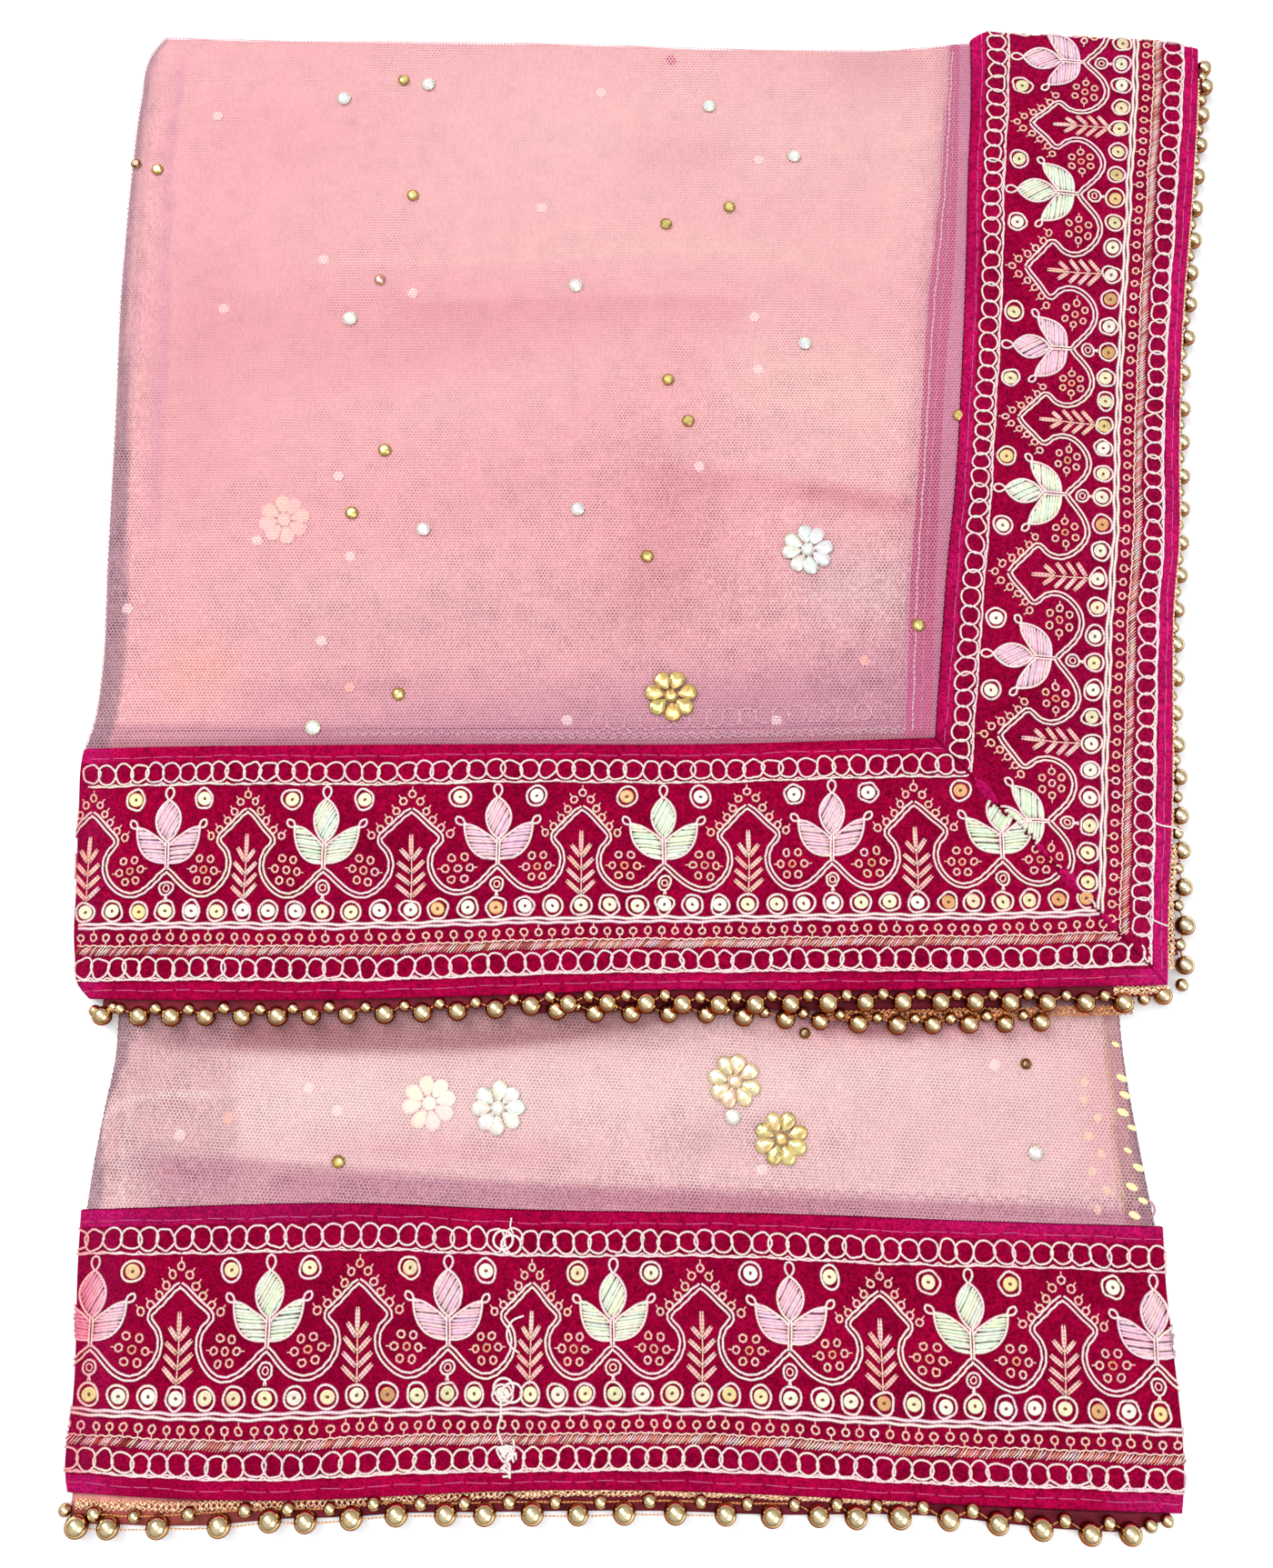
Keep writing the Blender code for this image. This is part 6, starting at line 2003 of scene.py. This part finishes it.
# Stray threads. Columns: half width, then the points, x and y.
LOOSE = (
    (0.45, ((215.6, -17), (219, -18.6), (224.6, -19.6), (227, -21))),
    (0.4, ((212.4, -57.6), (216, -59.4), (219.4, -60.6))),
    (0.4, ((160, -18), (163.4, -16.4), (166, -17.6))),
    (0.45, ((-45, -214.6), (-49.4, -216.4), (-51.6, -221), (-50.2, -225.8), (-46.6, -228.6))),
    (0.5, ((-53.6, -246), (-53.4, -252), (-54.6, -257), (-52.6, -262.6))),
    (0.4, ((-50.4, -177), (-50.8, -180.6), (-49.6, -183))),
)
LOOSE_RINGS = ((-53.6, -185.6), (-50.4, -187.4), (-52.6, -241.6), (-49.2, -243.4))
KNOT = (-50.6, -268.0)


def loose_threads():
    """The stray ends at the mitre and the knot of thread at the lower border's join."""
    bag = Bag()
    random = np.random.default_rng(41)

    def strand(points, lift, width, closed=False):
        path = smooth_path(points, 1.2, closed)
        level = velvet_level if path[:, 1].mean() > -120 else low_band_level
        path = np.column_stack([path, level(path[:, 0], path[:, 1]) + lift])
        bag.tube(path, width, width, CREAM, closed=closed)

    for width, points in LOOSE:
        strand(points, 0.75, width)
    for x, y in LOOSE_RINGS:
        strand((x, y) + circle(3.9, 12) * (1.0, 0.94), 0.85, 0.55, True)
    for number in range(8):
        x, y = KNOT[0] + random.uniform(-1.8, 1.8), KNOT[1] + random.uniform(-6.5, 5)
        loop = [(x + random.uniform(-2.6, 2.6), y + random.uniform(-3.4, 3.4)) for _ in range(6)]
        strand(loop, 0.8 + 0.12 * number, 0.5)
    return bag.piece("threads_loose", "cream", "velvet")


# --- the object ------------------------------------------------------------------------------
net_top, net_plies = upper_net()
low_top, low_plies = lower_net()
velvet_end, velvet_side, velvet_low = end_border(), side_border(), low_border()
flaps = miter_flaps()
folded_edges = hidden_plies()
velvet_below, lining_below = ghost_borders()
threads_below = ghost_threads()
end_threads = embroider(
    "end_upper", end_surface, -1, 101, -238.0, -38.0, 420.0, range(-1, 6), 1.4, END_ROPE, 360.0
)
side_threads = embroider(
    "side_upper", side_surface, 1, 102, NO_FOLD, -24.0, 436.0, range(-1, 6), 3.1, SIDE_ROPE, 330.0
)
low_threads = embroider(
    "end_lower", low_surface, -1, 103, -222.5, -9.0, 431.0, range(7), 0.6, LOW_ROPE
)
loose = loose_threads()
tapes = ribbons()
edging()
gems = stones()
flowers = stone_flowers()

# --- stage, light and camera -----------------------------------------------------------------
FLOOR_REACH, FLOOR_LEVEL = 4.0, -0.0002
floor_mesh = bpy.data.meshes.new("floor")
corners = ((-1, -1), (1, -1), (1, 1), (-1, 1))
corners = [(x * FLOOR_REACH, y * FLOOR_REACH, FLOOR_LEVEL) for x, y in corners]
floor_mesh.from_pydata(corners, [], [(0, 1, 2, 3)])
floor_mesh.materials.append(floor_finish())
put_in_scene("floor", floor_mesh)


def area_light(name, spot, size, power):
    """A square light that faces the middle of the floor."""
    light = bpy.data.lights.new(name, "AREA")
    light.shape, light.size, light.size_y, light.energy = "RECTANGLE", size, size, power
    placed = put_in_scene(name, light)
    placed.location = spot
    placed.rotation_euler = (Vector() - Vector(spot)).to_track_quat("-Z", "Y").to_euler()


area_light("key", (-0.9, 0.9, 1.5), 1.1, 26)
area_light("fill", (1.2, -0.9, 1.3), 1.4, 12)
area_light("top", (0.0, 0.1, 2.0), 1.0, 14)

world = bpy.data.worlds.new("studio")
bpy.context.scene.world = world
world.use_nodes = True
tree = world.node_tree
place = tree.nodes.new("ShaderNodeTexCoord")
split = tree.nodes.new("ShaderNodeSeparateXYZ")
ramp = tree.nodes.new("ShaderNodeValToRGB")
back = tree.nodes["Background"]
tree.links.new(place.outputs["Generated"], split.inputs[0])
tree.links.new(split.outputs["Z"], ramp.inputs[0])
tree.links.new(ramp.outputs[0], back.inputs[0])
back.inputs[1].default_value = 0.75
for stop, height, colour in zip(
    ramp.color_ramp.elements, (0.0, 0.9), ((0.30, 0.29, 0.29, 1), (0.95, 0.96, 1.0, 1))
):
    stop.position, stop.color = height, colour

SENSOR, LONG_SIDE, FOCAL_PIXELS = 36.0, 1725, 1524.0
camera_data = bpy.data.cameras.new("camera")
camera_data.sensor_width = SENSOR
camera_data.lens = SENSOR * FOCAL_PIXELS / LONG_SIDE
camera_data.clip_start = 0.01
camera = put_in_scene("camera", camera_data)
camera.location = (-0.02062, -0.12465, 0.58324)
camera.rotation_euler = (math.radians(9.712), math.radians(-0.321), 0.0)
bpy.context.scene.camera = camera
bpy.context.scene.view_settings.view_transform = "Standard"
